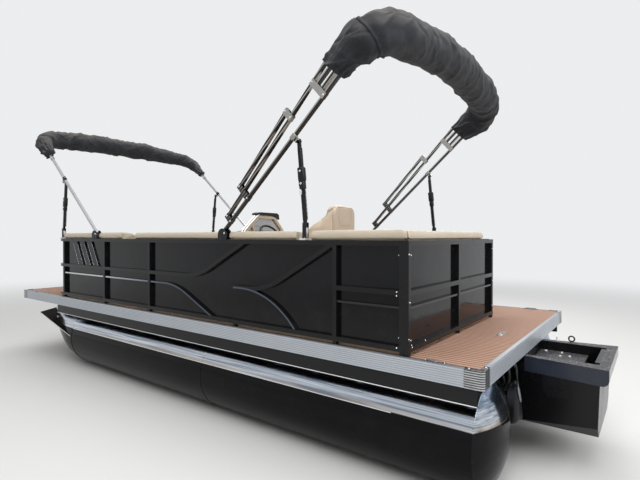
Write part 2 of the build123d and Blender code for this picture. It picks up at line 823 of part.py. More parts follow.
def back_outline():
    """A backrest in section: upright behind, with a roll over the fence's top rail."""
    gap = 2
    rear = PANEL_IN - SEAT_GAP
    low = DECK + SEAT_HEIGHT
    high = DECK + BACK_HEIGHT
    return [
        (BACK_IN, low),
        (rear, low),
        (rear, FENCE_TOP + gap),
        (FENCE_OUT + 4, FENCE_TOP + gap),
        (FENCE_OUT + 8, FENCE_TOP + 40),
        (FENCE_OUT - 12, high),
        (BACK_IN + 40, high),
        (BACK_IN + 5, high - 30),
    ]


def back(x_fore, x_aft):
    """One length of port backrest."""
    return along_x(back_outline(), x_aft, x_fore)


def stern_back(y0, y1):
    """One length of backrest along the stern."""
    shift = FENCE_STERN + FENCE_OUT
    points = [(shift - y, z) for y, z in back_outline()]
    return along_y(points, y0, y1)


def corner_cut(sign):
    """What lies past the corner's mitre: aft of it, or forward of it."""
    reach = SEAT_DEPTH
    x = FENCE_STERN + sign * SEAM * sqrt(0.5)
    y = FENCE_OUT
    points = [(x - 100, y + 100), (x + reach, y - reach)]
    if sign > 0:
        points += [(x - reach, y - reach), (x - reach, y + 100)]
    else:
        points += [(x + 2 * reach, y - reach), (x + 2 * reach, y + 100)]
    return along_z(points, DECK, DECK + 2 * BACK_HEIGHT)


# Helm

CONSOLE_LENGTH = 630
CONSOLE_SETBACK = 30
CONSOLE_FORE = POST_2 - CONSOLE_SETBACK
CONSOLE_AFT = CONSOLE_FORE - CONSOLE_LENGTH
CONSOLE_GAP = 35
CONSOLE_WIDTH = 745
CONSOLE_OUT = CONSOLE_GAP - PANEL_IN
CONSOLE_IN = CONSOLE_OUT + CONSOLE_WIDTH
CONSOLE_TOP = DECK + 800
ARCH_RISE = 210
ARCH_BAND = 42
ARCH_DEPTH = 50
ARCH_X = CONSOLE_AFT + 140
SCREEN = 8


def arch_outline(inset):
    """The windscreen's arch from astern, drawn in by an inset."""
    slope = 1.12 * inset
    low = CONSOLE_TOP - 45
    top = CONSOLE_TOP + ARCH_RISE
    return [
        (CONSOLE_IN - 1.5 * slope, low),
        (CONSOLE_IN - 1.5 * slope, CONSOLE_TOP),
        (CONSOLE_IN - 235 - inset / 2, top - inset),
        (CONSOLE_OUT + 175 + inset / 2, top - 10 - inset),
        (CONSOLE_OUT + slope, CONSOLE_TOP + 15),
        (CONSOLE_OUT + slope, low),
    ]


def arch():
    """The moulded arch round the windscreen, with a raking mullion."""
    outer = along_x(arch_outline(0), ARCH_X, ARCH_X + ARCH_DEPTH)
    shoulders = outer.edges().filter_by(Axis.X).sort_by(Axis.Z)[-2:]
    outer = fillet(shoulders, 30)
    inner = along_x(arch_outline(ARCH_BAND), ARCH_X - 1, ARCH_X + ARCH_DEPTH + 1)
    y = CONSOLE_IN - 135
    top = CONSOLE_TOP
    mullion = along_x(
        [(y, top + 130), (y + 22, top + 125), (y - 40, top - 40), (y - 66, top - 40)],
        ARCH_X,
        ARCH_X + ARCH_DEPTH,
    )
    return outer - inner + (mullion & outer)


def console():
    """The moulded helm console with its arch."""
    points = [
        (CONSOLE_AFT + 70, DECK),
        (CONSOLE_AFT + 30, DECK + 460),
        (CONSOLE_AFT, DECK + 560),
        (CONSOLE_AFT + 110, CONSOLE_TOP - 40),
        (CONSOLE_AFT + 200, CONSOLE_TOP),
        (CONSOLE_FORE - 70, CONSOLE_TOP - 50),
        (CONSOLE_FORE, CONSOLE_TOP - 180),
        (CONSOLE_FORE, DECK),
    ]
    body = along_y(points, CONSOLE_OUT, CONSOLE_IN)
    upright = body.edges().filter_by(Axis.Y).group_by(Axis.Z)[1:]
    edges = [edge for group in upright for edge in group]
    return fillet(edges, 20) + arch()


def windscreen():
    """The tinted pane in the console's arch."""
    x = ARCH_X + ARCH_DEPTH / 2
    return along_x(arch_outline(ARCH_BAND / 2), x, x + SCREEN) - console()


WHEEL_CENTRE = (CONSOLE_AFT - 20, (CONSOLE_IN + CONSOLE_OUT) / 2 + 46, DECK + 720)
WHEEL_TILT = 55
WHEEL_R = 175
SHAFT_R = 12


def wheel_place():
    """Plane of the steering wheel, its normal pointing aft and up to the helmsman."""
    normal = Vector(-cos(radians(90 - WHEEL_TILT)), 0, sin(radians(90 - WHEEL_TILT)))
    return Plane(origin=WHEEL_CENTRE, x_dir=(0, 1, 0), z_dir=normal)


def steering_wheel():
    """Rim, three spokes and a bored hub."""
    plane = wheel_place()
    rim = Torus(WHEEL_R, 14)
    hub = Cylinder(36, 40)
    wheel = rim + hub
    for angle in (90, 210, 330):
        spoke = Rot(0, 0, angle) * Pos(WHEEL_R / 2 + 8, 0, 0) * Box(WHEEL_R - 20, 26, 10)
        wheel += spoke
    bore = Pos(0, 0, -6) * Cylinder(SHAFT_R + RUN, 30)
    return plane * (wheel - bore)


def steering_shaft():
    """The fixed stub the wheel turns on, with its bezel on the dash."""
    plane = wheel_place()
    stub = Pos(0, 0, -80) * Cylinder(SHAFT_R, 176)
    bezel = Pos(0, 0, -85) * Cylinder(50, 100)
    return plane * (stub + bezel) - console()


CHAIR_SETBACK = 1000
CHAIR_X = CONSOLE_AFT - CHAIR_SETBACK
CHAIR_Y = -610
CHAIR_WIDTH = 440
PEDESTAL_R = 36
SPIGOT_R = 20
CHAIR_SEAT = 430


def chair_pedestal():
    """Foot plate, column and the spigot the chair swivels on."""
    place = Pos(CHAIR_X, CHAIR_Y, DECK)
    plate = Pos(0, 0, 5) * Cylinder(150, 10)
    column = Pos(0, 0, CHAIR_SEAT / 2 - 40) * Cylinder(PEDESTAL_R, CHAIR_SEAT - 80)
    spigot = Pos(0, 0, CHAIR_SEAT - 65) * Cylinder(SPIGOT_R, 50)
    return place * (plate + column + spigot)


def chair_spine():
    """The moulded back of the bucket."""
    return Pos(-225, 0, 240) * Box(30, CHAIR_WIDTH - 40, 540)


def chair_shell():
    """The seat plate and the moulded bucket behind the cushions."""
    place = Pos(CHAIR_X, CHAIR_Y, DECK + CHAIR_SEAT)
    bearing = Pos(0, 0, -50) * Cylinder(60, 40)
    pan = Pos(0, 0, -15) * Box(480, CHAIR_WIDTH - 30, 30)
    socket = Pos(0, 0, -60) * Cylinder(SPIGOT_R + RUN, 61)
    return place * (bearing + pan + chair_spine() - socket)


def chair_cushion():
    """Seat, backrest and sloping side wings of the bucket seat."""
    place = Pos(CHAIR_X, CHAIR_Y, DECK + CHAIR_SEAT)
    half = CHAIR_WIDTH / 2
    seat = fillet((Pos(15, 0, 60) * Box(470, CHAIR_WIDTH - 20, 120)).edges().filter_by(Axis.Y), 40)
    rest = fillet((Pos(-165, 0, 385) * Box(110, CHAIR_WIDTH, 530)).edges().filter_by(Axis.X), 60)
    wing_side = [(-215, 30), (-215, 600), (-140, 600), (136, 390), (175, 320), (165, 30)]
    wing = along_y(wing_side, half - 50, half + 15)
    wing = fillet(wing.edges().filter_by(Axis.Y).sort_by(Axis.Z)[2:], 30)
    whole = seat + rest + wing + starboard(wing)
    return place * (whole - chair_spine())


# Bimini tops

ARM_Y = FENCE_OUT - FENCE_TUBE / 2
PIVOT_Z = DECK + PIVOT_HEIGHT
PIVOT_PIN = 5
CHEEK = 6
ARM_GAP = 1.5
BRACE_TUBE = 22
BRACE_Y = ARM_Y - BOW_TUBE / 2 - ARM_GAP - BRACE_TUBE / 2
BRACE_AT = 1000
BRACE_DROP = 40
BRACE_PIN = 4
BRACE_CLEAR = 25
BRACE_FOOT_Z = DECK + BACK_HEIGHT + BRACE_CLEAR
SOCKET_CHEEK = 5
SOCKET_CLEAR = 6
SOCKET_GRIP = 30
SOCKET_BASE = 12
SOCKET_HALF = 16
PLATE = 5

# Where each tube of a folded stack starts and ends along the arm, and its height above it
REAR_STACK = [
    (0, 0, ARM_LENGTH, 0),
    (100, 55, ARM_LENGTH, 155),
    (350, 130, 1100, 190),
    (ARM_LENGTH - 190, 100, ARM_LENGTH, 100),
    (ARM_LENGTH - 190, 45, ARM_LENGTH, 45),
]
FRONT_STACK = REAR_STACK[:1]
# Place along the arm, and the lowest and highest tube it takes hold of
REAR_BRACKETS = [(115, 0, 58), (375, 0, 132), (1075, 118, 188), (ARM_LENGTH - 165, 0, 144)]
FRONT_BRACKETS = [(ARM_LENGTH - 90, -6, 6)]


def top_frame(pivot_x, lean, sign):
    """Plane of a folded top: its x runs up the arm, its y across the boat."""
    along = Vector(sign * cos(radians(lean)), 0, sin(radians(lean)))
    return Plane(origin=(pivot_x, 0, PIVOT_Z), x_dir=along, z_dir=across_normal(along, sign))


def across_normal(along, sign):
    """The upward normal of the folded top."""
    return Vector(-along.Z * sign, 0, along.X * sign)


def arms(plane, stack, brackets):
    """The port arms of one top, in their stack, with plates and pins."""
    half = BOW_TUBE / 2
    whole = Rot(90, 0, 0) * Cylinder(half, BOW_TUBE)
    for s0, n0, s1, n1 in stack:
        outline = [(s0, n0 - half), (s1, n1 - half), (s1, n1 + half), (s0, n0 + half)]
        whole += along_y(outline, -half, half)
    for s, low, high in brackets:
        for y in (half, -half - PLATE):
            whole += block(s - 24, s + 24, y, y + PLATE, low - half, high + half)
    pin_end = -half - ARM_GAP - BRACE_TUBE - 6
    pin = rod(BRACE_PIN, (BRACE_AT, 0, -BRACE_DROP), (BRACE_AT, pin_end, -BRACE_DROP))
    head = rod(9, (BRACE_AT, pin_end, -BRACE_DROP), (BRACE_AT, pin_end - 4, -BRACE_DROP))
    tab = block(BRACE_AT - 14, BRACE_AT + 14, -half, half, -BRACE_DROP - 12, -half)
    whole += pin + head + tab
    whole -= Rot(90, 0, 0) * Cylinder(PIVOT_PIN + RUN, 2 * BOW_TUBE)
    return plane * Pos(0, ARM_Y, 0) * whole


def hoop_path(plane):
    """Centreline of a hoop's wrapped part, from arm end to arm end."""
    shoulder = HOOP_SHOULDER
    side = ARM_Y
    r = HOOP_RADIUS
    turn = radians(HOOP_TURN)
    crown_r = r + (side - r) / cos(turn)
    knee = (shoulder + r * sin(turn), side - r + r * cos(turn))
    bend = (shoulder + r * sin(turn / 2), side - r + r * cos(turn / 2))
    crown = (knee[0] + crown_r * (1 - sin(turn)), 0)

    def over(point):
        return point[0], -point[1]

    edges = [
        Line((ARM_LENGTH, side), (shoulder, side)),
        ThreePointArc((shoulder, side), bend, knee),
        ThreePointArc(knee, crown, over(knee)),
        ThreePointArc(over(knee), over(bend), (shoulder, -side)),
        Line((shoulder, -side), (ARM_LENGTH, -side)),
    ]
    return plane * Wire([edge.edge() for edge in edges])


def boot(plane, width, height):
    """The rolled canopy in its cover."""
    start = plane * Plane(origin=(ARM_LENGTH, ARM_Y, 0), x_dir=(0, 1, 0), z_dir=(1, 0, 0))
    return sweep(start * Ellipse(width / 2, height / 2), path=hoop_path(plane))


def pivot_mount(x):
    """The fork on the port rail that a top swings in, with its pin."""
    half = BOW_TUBE / 2 + ARM_GAP
    base = FENCE_TOP
    whole = Pos(x, ARM_Y, base + 10) * Cylinder(36, 20)
    top = PIVOT_Z + 14
    for side in (1, -1):
        y0 = ARM_Y + side * half
        whole += block(x - 18, x + 18, y0, y0 + side * CHEEK, base, top)
    whole += rod(PIVOT_PIN, (x, ARM_Y - half - CHEEK, PIVOT_Z), (x, ARM_Y + half + CHEEK, PIVOT_Z))
    return whole


def brace_top(plane):
    """Where a brace's pin sits on the port arm."""
    return (plane * Pos(BRACE_AT, 0, -BRACE_DROP)).position


def brace(plane, foot_shift):
    """One port brace, from the arm's pin down to its rail socket."""
    top = brace_top(plane)
    foot = Vector(top.X + foot_shift, 0, BRACE_FOOT_Z)
    length = (top - foot).length
    axis = Plane(origin=(top.X, BRACE_Y, top.Z), x_dir=(0, 1, 0), z_dir=foot - Vector(top.X, 0, top.Z))
    half = BRACE_TUBE / 2
    bar = block(-half, half, -half, half, -14, length)
    lock = block(-half - 7, half + 7, -half - 7, half + 7, 200, 330)
    hole = Rot(0, 90, 0) * Cylinder(BRACE_PIN + RUN, 60)
    return axis * (bar + lock - hole)


def brace_socket(plane, foot_shift):
    """The post on the port rail that a brace's foot stands over."""
    x = brace_top(plane).X + foot_shift
    half = BRACE_TUBE / 2 + ARM_GAP
    inner = BRACE_Y - half - SOCKET_CHEEK
    base_top = FENCE_TOP + SOCKET_BASE
    base = block(x - 28, x + 28, inner, FENCE_OUT - 4, FENCE_TOP, base_top)
    top = BRACE_FOOT_Z - SOCKET_CLEAR
    return base + block(x - SOCKET_HALF, x + SOCKET_HALF, BRACE_Y - half, BRACE_Y + half, base_top, top)


def socket_cheeks(plane, foot_shift):
    """The two plates on a port post's sides that the brace's foot drops between."""
    x = brace_top(plane).X + foot_shift
    half = BRACE_TUBE / 2 + ARM_GAP
    low = FENCE_TOP + SOCKET_BASE
    high = BRACE_FOOT_Z + SOCKET_GRIP
    sides = ((BRACE_Y + half, SOCKET_CHEEK), (BRACE_Y - half, -SOCKET_CHEEK))
    return [block(x - SOCKET_HALF, x + SOCKET_HALF, y, y + wall, low, high) for y, wall in sides]


# Name, where the pivot stands, lean, forward or aft, shift of the brace's foot, the
# boot's width and height, tubes of the stack and their brackets
TOPS = [
    ("rear", STERN + REAR_PIVOT, REAR_LEAN, -1, -60, 280, 330, REAR_STACK, REAR_BRACKETS),
    ("front", BOW - FRONT_PIVOT, FRONT_LEAN, 1, 60, 220, 240, FRONT_STACK, FRONT_BRACKETS),
]


def main():
    """Build every piece and write it."""
    os.makedirs("parts", exist_ok=True)

    float_and_eye = port_tube()
    save("port_tube", float_and_eye)
    save("starboard_tube", starboard(float_and_eye))
    save("tube_risers", *risers())
    save("tube_strakes", *strakes())
    guard = spray_guard()
    save("spray_guards", guard, starboard(guard))

    save("cross_members", *cross_members())
    board = block(DECK_AFT, DECK_FORE, -DECK_HALF, DECK_HALF, BOARD_BOTTOM, BOARD_TOP)
    save("deck_board", board)
    save("deck_covering", deck_covering())
    save("trim_sides", side_trim(), starboard(side_trim()))
    save("trim_ends", end_trim(BOW, 1), end_trim(STERN, -1))
    save("trim_corners", *trim_corners())
    save("skirts", skirt(), starboard(skirt()))
    save("skirt_ledges", ledge(), starboard(ledge()))

    bolts = motor_bolts()
    save("motor_pod", POD - bolts)
    save("pod_rim", pod_rim() - bolts, pod_mat())
    save("motor_board", motor_board() - bolts)

    save("fence_port_frame", side_frame(PORT_END))
    save("fence_port_panels", *side_panels(PORT_END))
    save("fence_starboard_frame", starboard(side_frame(STARBOARD_END)))
    save("fence_starboard_panels", *[starboard(p) for p in side_panels(STARBOARD_END)])
    save("fence_slats", *slats(), *[starboard(p) for p in slats()])
    save("fence_bow_frames", bow_frame(), starboard(bow_frame()))
    save("fence_bow_panels", bow_panels(), starboard(bow_panels()))
    save("fence_stern_frame", stern_frame())
    save("fence_stern_panels", *stern_panels())
    starboard_accents = [starboard(piece) for piece in side_accents(STARBOARD_END)]
    save("fence_accents", *side_accents(PORT_END), *starboard_accents, *stern_accents())
    save("fence_feet", *feet())
    save("bow_gate_frame", gate_frame())
    save("bow_gate_panels", *gate_panel())
    save("bow_gate_hinges", *gate_hinges())

    aft = SEAT_AFT
    fore = PORT_FORE
    low, high = SEAT_EDGE, PANEL_IN - SEAT_GAP
    stern_in = STERN_SEAT_FRONT
    stern_low, stern_high = STERN_SEAT_END, low - SEAM
    bow_fore = BOW_SEAT_FORE
    helm_fore = CONSOLE_FORE + 60
    save(
        "lounge_bases",
        lounge_base(aft, fore, low, high),
        lounge_base(BOW_SEAT_AFT, bow_fore, low, high),
        block(aft, stern_in, stern_low, stern_high, DECK, DECK + SEAT_BASE_HEIGHT),
        starboard(lounge_base(helm_fore, bow_fore, low, high)),
    )
    save("seat_cushion_port", seat_pad(aft, fore, low, high))
    save("seat_cushion_port_bow", seat_pad(BOW_SEAT_AFT, bow_fore, low, high))
    save("seat_cushion_stern", seat_pad(aft, stern_in, stern_low, stern_high))
    save("seat_cushion_starboard_bow", starboard(seat_pad(helm_fore, bow_fore, low, high)))

    planes = [top_frame(x, lean, sign) for _, x, lean, sign, *_ in TOPS]
    rear_x, front_x = TOPS[0][1], TOPS[1][1]
    socket_x = brace_top(planes[0]).X + TOPS[0][4]
    gap = CUSHION_GAP
    port_split = POST_3 - PORT_SEAM
    save(
        "back_cushion_port",
        back(fore, port_split + SEAM / 2),
        back(port_split - SEAM / 2, rear_x + gap),
        back(rear_x - gap, socket_x + gap),
        back(socket_x - gap, FENCE_STERN - FENCE_TUBE) - corner_cut(1),
    )
    save("back_cushion_port_bow", back(bow_fore, front_x + gap), back(front_x - gap, BOW_SEAT_AFT))
    split = FENCE_OUT - STERN_SEAM
    save(
        "back_cushion_stern",
        stern_back(STERN_SEAT_END, split - SEAM / 2),
        stern_back(split + SEAM / 2, FENCE_OUT + FENCE_TUBE) - corner_cut(-1),
    )
    save("back_cushion_starboard_bow", starboard(back(bow_fore, front_x + gap)),
         starboard(back(front_x - gap, helm_fore)))

    save("helm_console", console())
    save("helm_windscreen", windscreen())
    save("steering_shaft", steering_shaft())
    save("steering_wheel", steering_wheel())
    save("chair_pedestal", chair_pedestal())
    save("chair_shell", chair_shell())
    save("chair_cushion", chair_cushion())

    forks = [pivot_mount(top[1]) for top in TOPS]
    sockets = [brace_socket(plane, top[4]) for plane, top in zip(planes, TOPS)]
    cheeks = [cheek for plane, top in zip(planes, TOPS) for cheek in socket_cheeks(plane, top[4])]
    save("bimini_forks", *forks, *[starboard(fork) for fork in forks])
    save("brace_sockets", *sockets, *[starboard(socket) for socket in sockets])
    save("socket_cheeks", *cheeks, *[starboard(cheek) for cheek in cheeks])
    for plane, top in zip(planes, TOPS):
        name, _, _, _, shift, width, height, stack, brackets = top
        port_arms = arms(plane, stack, brackets)
        save(f"{name}_bimini_arms_port", port_arms)
        save(f"{name}_bimini_arms_starboard", starboard(port_arms))
        save(f"{name}_bimini_boot", boot(plane, width, height))
        save(f"{name}_brace_port", brace(plane, shift))
        save(f"{name}_brace_starboard", starboard(brace(plane, shift)))


main()
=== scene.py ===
"""Looks of the pontoon boat: finishes, soft goods, fittings and the stage.

Laid out as an add-on: sizes and colours are properties, each group of pieces
has an operator, and main() calls them in order. Metres. X runs forward, Y to
port, Z up, with the ground at zero. Places on the solids are those that the
part's source gives.
"""

import math

import bmesh
import bpy
import numpy as np
from mathutils import Matrix, Vector, noise


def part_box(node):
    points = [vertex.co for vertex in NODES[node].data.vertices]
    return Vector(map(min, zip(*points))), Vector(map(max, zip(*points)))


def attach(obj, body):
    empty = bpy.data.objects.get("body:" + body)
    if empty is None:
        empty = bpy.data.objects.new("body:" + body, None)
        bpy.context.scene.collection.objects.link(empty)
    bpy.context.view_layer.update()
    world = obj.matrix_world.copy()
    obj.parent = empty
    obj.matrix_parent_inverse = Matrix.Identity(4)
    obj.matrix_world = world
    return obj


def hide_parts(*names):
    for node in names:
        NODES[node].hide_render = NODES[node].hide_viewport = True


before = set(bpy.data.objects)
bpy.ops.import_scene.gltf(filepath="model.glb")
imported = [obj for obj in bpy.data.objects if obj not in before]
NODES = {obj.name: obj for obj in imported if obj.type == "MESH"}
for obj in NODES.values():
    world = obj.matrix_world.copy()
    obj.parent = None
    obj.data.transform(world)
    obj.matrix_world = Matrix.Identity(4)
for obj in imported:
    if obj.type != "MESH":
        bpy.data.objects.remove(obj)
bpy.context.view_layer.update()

bl_info = {
    "name": "Pontoon boat looks",
    "version": (1, 0, 0),
    "blender": (4, 5, 0),
    "location": "View3D > Sidebar > Boat",
    "description": "Finishes, cushions, boots, fittings and stage of the pontoon boat",
    "category": "Object",
}


# Properties

def colour(name, text, value):
    """A colour property."""
    return bpy.props.FloatVectorProperty(
        name=name, description=text, default=value, subtype="COLOR", size=3, min=0, max=1)


def length(name, text, value):
    """A length property in metres."""
    return bpy.props.FloatProperty(
        name=name, description=text, default=value, unit="LENGTH", min=0, precision=4)


class BoatColours(bpy.types.PropertyGroup):
    """Colours of the finishes."""
    aluminium: colour("Aluminium", "Polished tubes and bright parts", (0.78, 0.79, 0.81))
    trim: colour("Trim", "Ribbed edge trim", (0.52, 0.555, 0.60))
    dull: colour("Dull aluminium", "Cross members and risers", (0.55, 0.56, 0.57))
    black: colour("Black paint", "Painted tubes and frames", (0.006, 0.006, 0.007))
    panel: colour("Panel", "Gloss fence panels", (0.004, 0.004, 0.005))
    planking: colour("Planking", "Ribbed deck covering", (0.48, 0.288, 0.208))
    vinyl: colour("Vinyl", "Seat covers", (0.50, 0.435, 0.335))
    moulding: colour("Moulding", "Console and seat bases", (0.56, 0.445, 0.315))
    canvas: colour("Canvas", "Boots of the folded tops", (0.022, 0.0235, 0.028))
    floor: colour("Floor", "Studio floor", (0.72, 0.72, 0.71))
    backdrop: colour("Backdrop", "Studio background", (0.84, 0.85, 0.86))


class BoatSizes(bpy.types.PropertyGroup):
    """Sizes of what is added to the solids."""
    paint_line: length("Paint line", "Level of the black paint's upper edge", 0.462)
    rib_pitch: length("Rib pitch", "Distance between the deck's grooves", 0.040)
    piping: length("Piping", "Diameter of the cushions' piping", 0.009)
    bolt: length("Bolt head", "Diameter of a fence bolt's head", 0.010)
    weld: length("Weld bead", "Width of a tube's weld bead", 0.006)
    voxel: length("Voxel", "Mesh size of the cushions' simulation", 0.014)
    back_swell: length("Back swell", "Furthest that a backrest's cover may bulge", 0.009)
    swell: length("Swell", "Furthest that a seat cushion's cover may bulge", 0.024)


def colours():
    return bpy.context.scene.boat_colours


def sizes():
    return bpy.context.scene.boat_sizes


# Materials

class Finish:
    """A procedural material being put together, its patterns on Object coordinates."""

    def __init__(self, name):
        self.material = bpy.data.materials.new(name)
        self.material.use_nodes = True
        self.tree = self.material.node_tree
        self.shader = self.tree.nodes["Principled BSDF"]
        self.place = self.add("ShaderNodeTexCoord").outputs["Object"]

    def add(self, kind, **settings):
        node = self.tree.nodes.new(kind)
        for key, value in settings.items():
            setattr(node, key, value)
        return node

    def link(self, source, target):
        self.tree.links.new(source, target)

    def set(self, **values):
        """Plain values on the shader's own sockets."""
        for key, value in values.items():
            socket = self.shader.inputs[key.replace("_", " ")]
            if hasattr(socket.default_value, "__len__") and len(socket.default_value) == 4:
                value = (*value[:3], 1)
            socket.default_value = value

    def feed(self, key, socket):
        """Links a socket to one of the shader's."""
        self.link(socket, self.shader.inputs[key])

    def stretched(self, scale):
        """Object coordinates scaled along each axis."""
        node = self.add("ShaderNodeMapping")
        node.inputs["Scale"].default_value = scale
        self.link(self.place, node.inputs["Vector"])
        return node.outputs["Vector"]

    def noise(self, scale, detail=3.0, rough=0.55, place=None, distort=0.0):
        node = self.add("ShaderNodeTexNoise")
        node.inputs["Scale"].default_value = scale
        node.inputs["Detail"].default_value = detail
        node.inputs["Roughness"].default_value = rough
        node.inputs["Distortion"].default_value = distort
        self.link(place or self.place, node.inputs["Vector"])
        return node.outputs["Fac"]

    def voronoi(self, scale, feature="F1"):
        node = self.add("ShaderNodeTexVoronoi", feature=feature)
        node.inputs["Scale"].default_value = scale
        self.link(self.place, node.inputs["Vector"])
        return node.outputs["Distance"]

    def span(self, source, low, high, to_low=0.0, to_high=1.0, smooth=False):
        """Maps one range of values on another, clamped."""
        node = self.add("ShaderNodeMapRange", interpolation_type="SMOOTHSTEP" if smooth else "LINEAR")
        values = (low, high, to_low, to_high)
        for key, value in zip(("From Min", "From Max", "To Min", "To Max"), values):
            node.inputs[key].default_value = value
        self.link(source, node.inputs["Value"])
        return node.outputs["Result"]

    def over(self, source, level, blur=0.0005):
        """0 below a level and 1 above it."""
        return self.span(source, level - blur, level + blur)

    def under(self, source, level, blur=0.0005):
        """1 below a level and 0 above it."""
        return self.span(source, level + blur, level - blur)

    def times(self, a, b):
        return self.math("MULTIPLY", a, b)

    def larger(self, a, b):
        return self.math("MAXIMUM", a, b)

    def math(self, operation, a, b=0.0):
        node = self.add("ShaderNodeMath", operation=operation)
        for socket, value in zip(node.inputs, (a, b)):
            if isinstance(value, (int, float)):
                socket.default_value = value
            else:
                self.link(value, socket)
        return node.outputs["Value"]

    def axis(self, letter, source=None):
        """One coordinate of the object's place, or of another vector."""
        node = self.add("ShaderNodeSeparateXYZ")
        self.link(source or self.place, node.inputs["Vector"])
        return node.outputs[letter]

    def mix(self, factor, a, b):
        """Mixes two colours."""
        node = self.add("ShaderNodeMix", data_type="RGBA")
        self.link(factor, node.inputs["Factor"])
        for socket, value in ((node.inputs[6], a), (node.inputs[7], b)):
            if isinstance(value, (tuple, list)) or hasattr(value, "hsv"):
                socket.default_value = (*value[:3], 1)
            else:
                self.link(value, socket)
        return node.outputs[2]

    def bump(self, *layers):
        """Bumps stacked from (height socket, depth in metres) pairs."""
        normal = None
        for height, depth in layers:
            node = self.add("ShaderNodeBump")
            node.inputs["Strength"].default_value = 1.0
            node.inputs["Distance"].default_value = depth
            self.link(height, node.inputs["Height"])
            if normal:
                self.link(normal, node.inputs["Normal"])
            normal = node.outputs["Normal"]
        self.link(normal, self.shader.inputs["Normal"])


def shade(value, factor):
    """A colour made lighter or darker."""
    return tuple(min(1, channel * factor) for channel in value[:3])


# Levels and places at which a solid's finish changes
FOOT_PLATE_TOP = 1.5455
RIB_FOOT = 0.734
RIB_STEP = 0.013
STERN_FACE = -2.799
CASTING_TOP = 0.8387
ACCENT_FACE = 1.1831
ACCENT_END = -1.790
PANEL_FOOT = 0.860
CONSOLE_FOOT = 0.840
FIRST_GROOVE = 1.188
POD_STEP = 0.6685
POD_STEP_SIDE = 0.2625
POD_STEP_END = -3.1295
POD_RIM_TOP = 0.73445
ARM_PLATE_FACE = 0.0135
ARM_PLATE_FOOT = 2.110

# Stretches of a metal's grain: none, drawn fore and aft, drawn across
EVEN = (1, 1, 1)
FORE_DRAWN = (0.04, 1, 1)
CROSS_DRAWN = (1, 0.05, 1)


def tube_finish():
    """Polished aluminium above the paint line, gloss black below it; the aluminium's colours are painted
    reflection.
    """
    f = Finish("painted_tube")
    c = colours()
    line = sizes().paint_line
    bright = f.over(f.math("SUBTRACT", f.axis("Z"), f.times(f.noise(3.0), 0.004)), line - 0.0025, 0.0015)
    # Painted reflection: blue-grey sky higher up, warm ground just above the paint line, dark and pale
    # streaks
    painted_light_streaks = f.noise(1.0, 4, 0.6, f.stretched((0.5, 3, 16)), 0.8)
    height = f.math("ADD", f.axis("Z"), f.times(f.math("SUBTRACT", painted_light_streaks, 0.5), 0.10))
    painted_sky_reflection = f.span(height, line + 0.070, line + 0.125)
    painted_ground_reflection = f.span(height, line + 0.030, line - 0.005)
    streak = f.noise(1.0, 5, 0.65, f.stretched((0.8, 8, 60)))
    metal = f.mix(painted_sky_reflection, (0.44, 0.48, 0.54), (0.24, 0.31, 0.41))
    metal = f.mix(painted_ground_reflection, metal, (0.46, 0.39, 0.31))
    metal = f.mix(f.span(streak, 0.49, 0.60, 0, 0.7), metal, (0.09, 0.12, 0.17))
    metal = f.mix(f.span(streak, 0.45, 0.38, 0, 0.8), metal, (0.66, 0.69, 0.72))
    dust = f.span(f.noise(2.6, 6, 0.7), 0.48, 0.8)
    paint = f.mix(dust, shade(c.black, 0.7), shade(c.black, 1.6))
    f.feed("Base Color", f.mix(bright, paint, metal))
    f.feed("Metallic", bright)
    f.set(Specular_IOR_Level=0.09)
    smooth = f.span(f.noise(5.0, 4), 0.3, 0.8, 0.10, 0.22)
    dull = f.span(dust, 0, 1, 0.08, 0.26)
    painted = f.math("SUBTRACT", 1.0, bright)
    f.feed("Roughness", f.math("ADD", f.times(bright, smooth), f.times(painted, dull)))
    f.bump((f.noise(1.0, 2, 0.5, f.stretched((0.7, 4, 7))), 0.004), (f.noise(190, 2), 0.00004))
    return f.material


def socket_finish():
    """White foot plate under a bright post."""
    f = Finish("brace_post")
    base = colours().aluminium
    post = f.over(f.axis("Z"), FOOT_PLATE_TOP, 0.0003)
    streak = f.span(f.noise(70, 3, 0.6, f.stretched((1, 1, 0.1))), 0.3, 0.7)
    white = f.mix(streak, (0.72, 0.72, 0.70), (0.62, 0.62, 0.60))
    f.feed("Base Color", f.mix(post, white, shade(base, 0.9)))
    f.feed("Metallic", post)
    f.feed("Roughness", f.span(streak, 0, 1, 0.16, 0.32))
    f.bump((streak, 0.00004))
    return f.material


def metal_finish(name, base, low, high, grain, depth, dirt):
    """Bare or anodised metal with a directional grain and some dulling."""
    f = Finish(name)
    streak = f.noise(60.0, 3, 0.6, f.stretched(grain))
    patch = f.span(f.noise(3.2, 5, 0.65), 0.42, 0.78)
    tone = f.mix(f.span(streak, 0.3, 0.7), shade(base, 0.88), shade(base, 1.08))
    f.feed("Base Color", f.mix(f.times(patch, dirt), tone, shade(base, 0.45)))
    f.set(Metallic=1.0)
    wear = f.math("ADD", f.times(streak, 0.5), f.times(patch, 0.5))
    f.feed("Roughness", f.span(wear, 0.15, 0.85, low, high))
    f.bump((streak, depth))
    return f.material


def rib_groove(f, share):
    """Where the ribbed trim's grooves lie, by height."""
    rib = f.math("FRACT", f.math("DIVIDE", f.math("SUBTRACT", f.axis("Z"), RIB_FOOT), RIB_STEP))
    return f.span(rib, 1 - share - 0.06, 1 - share)


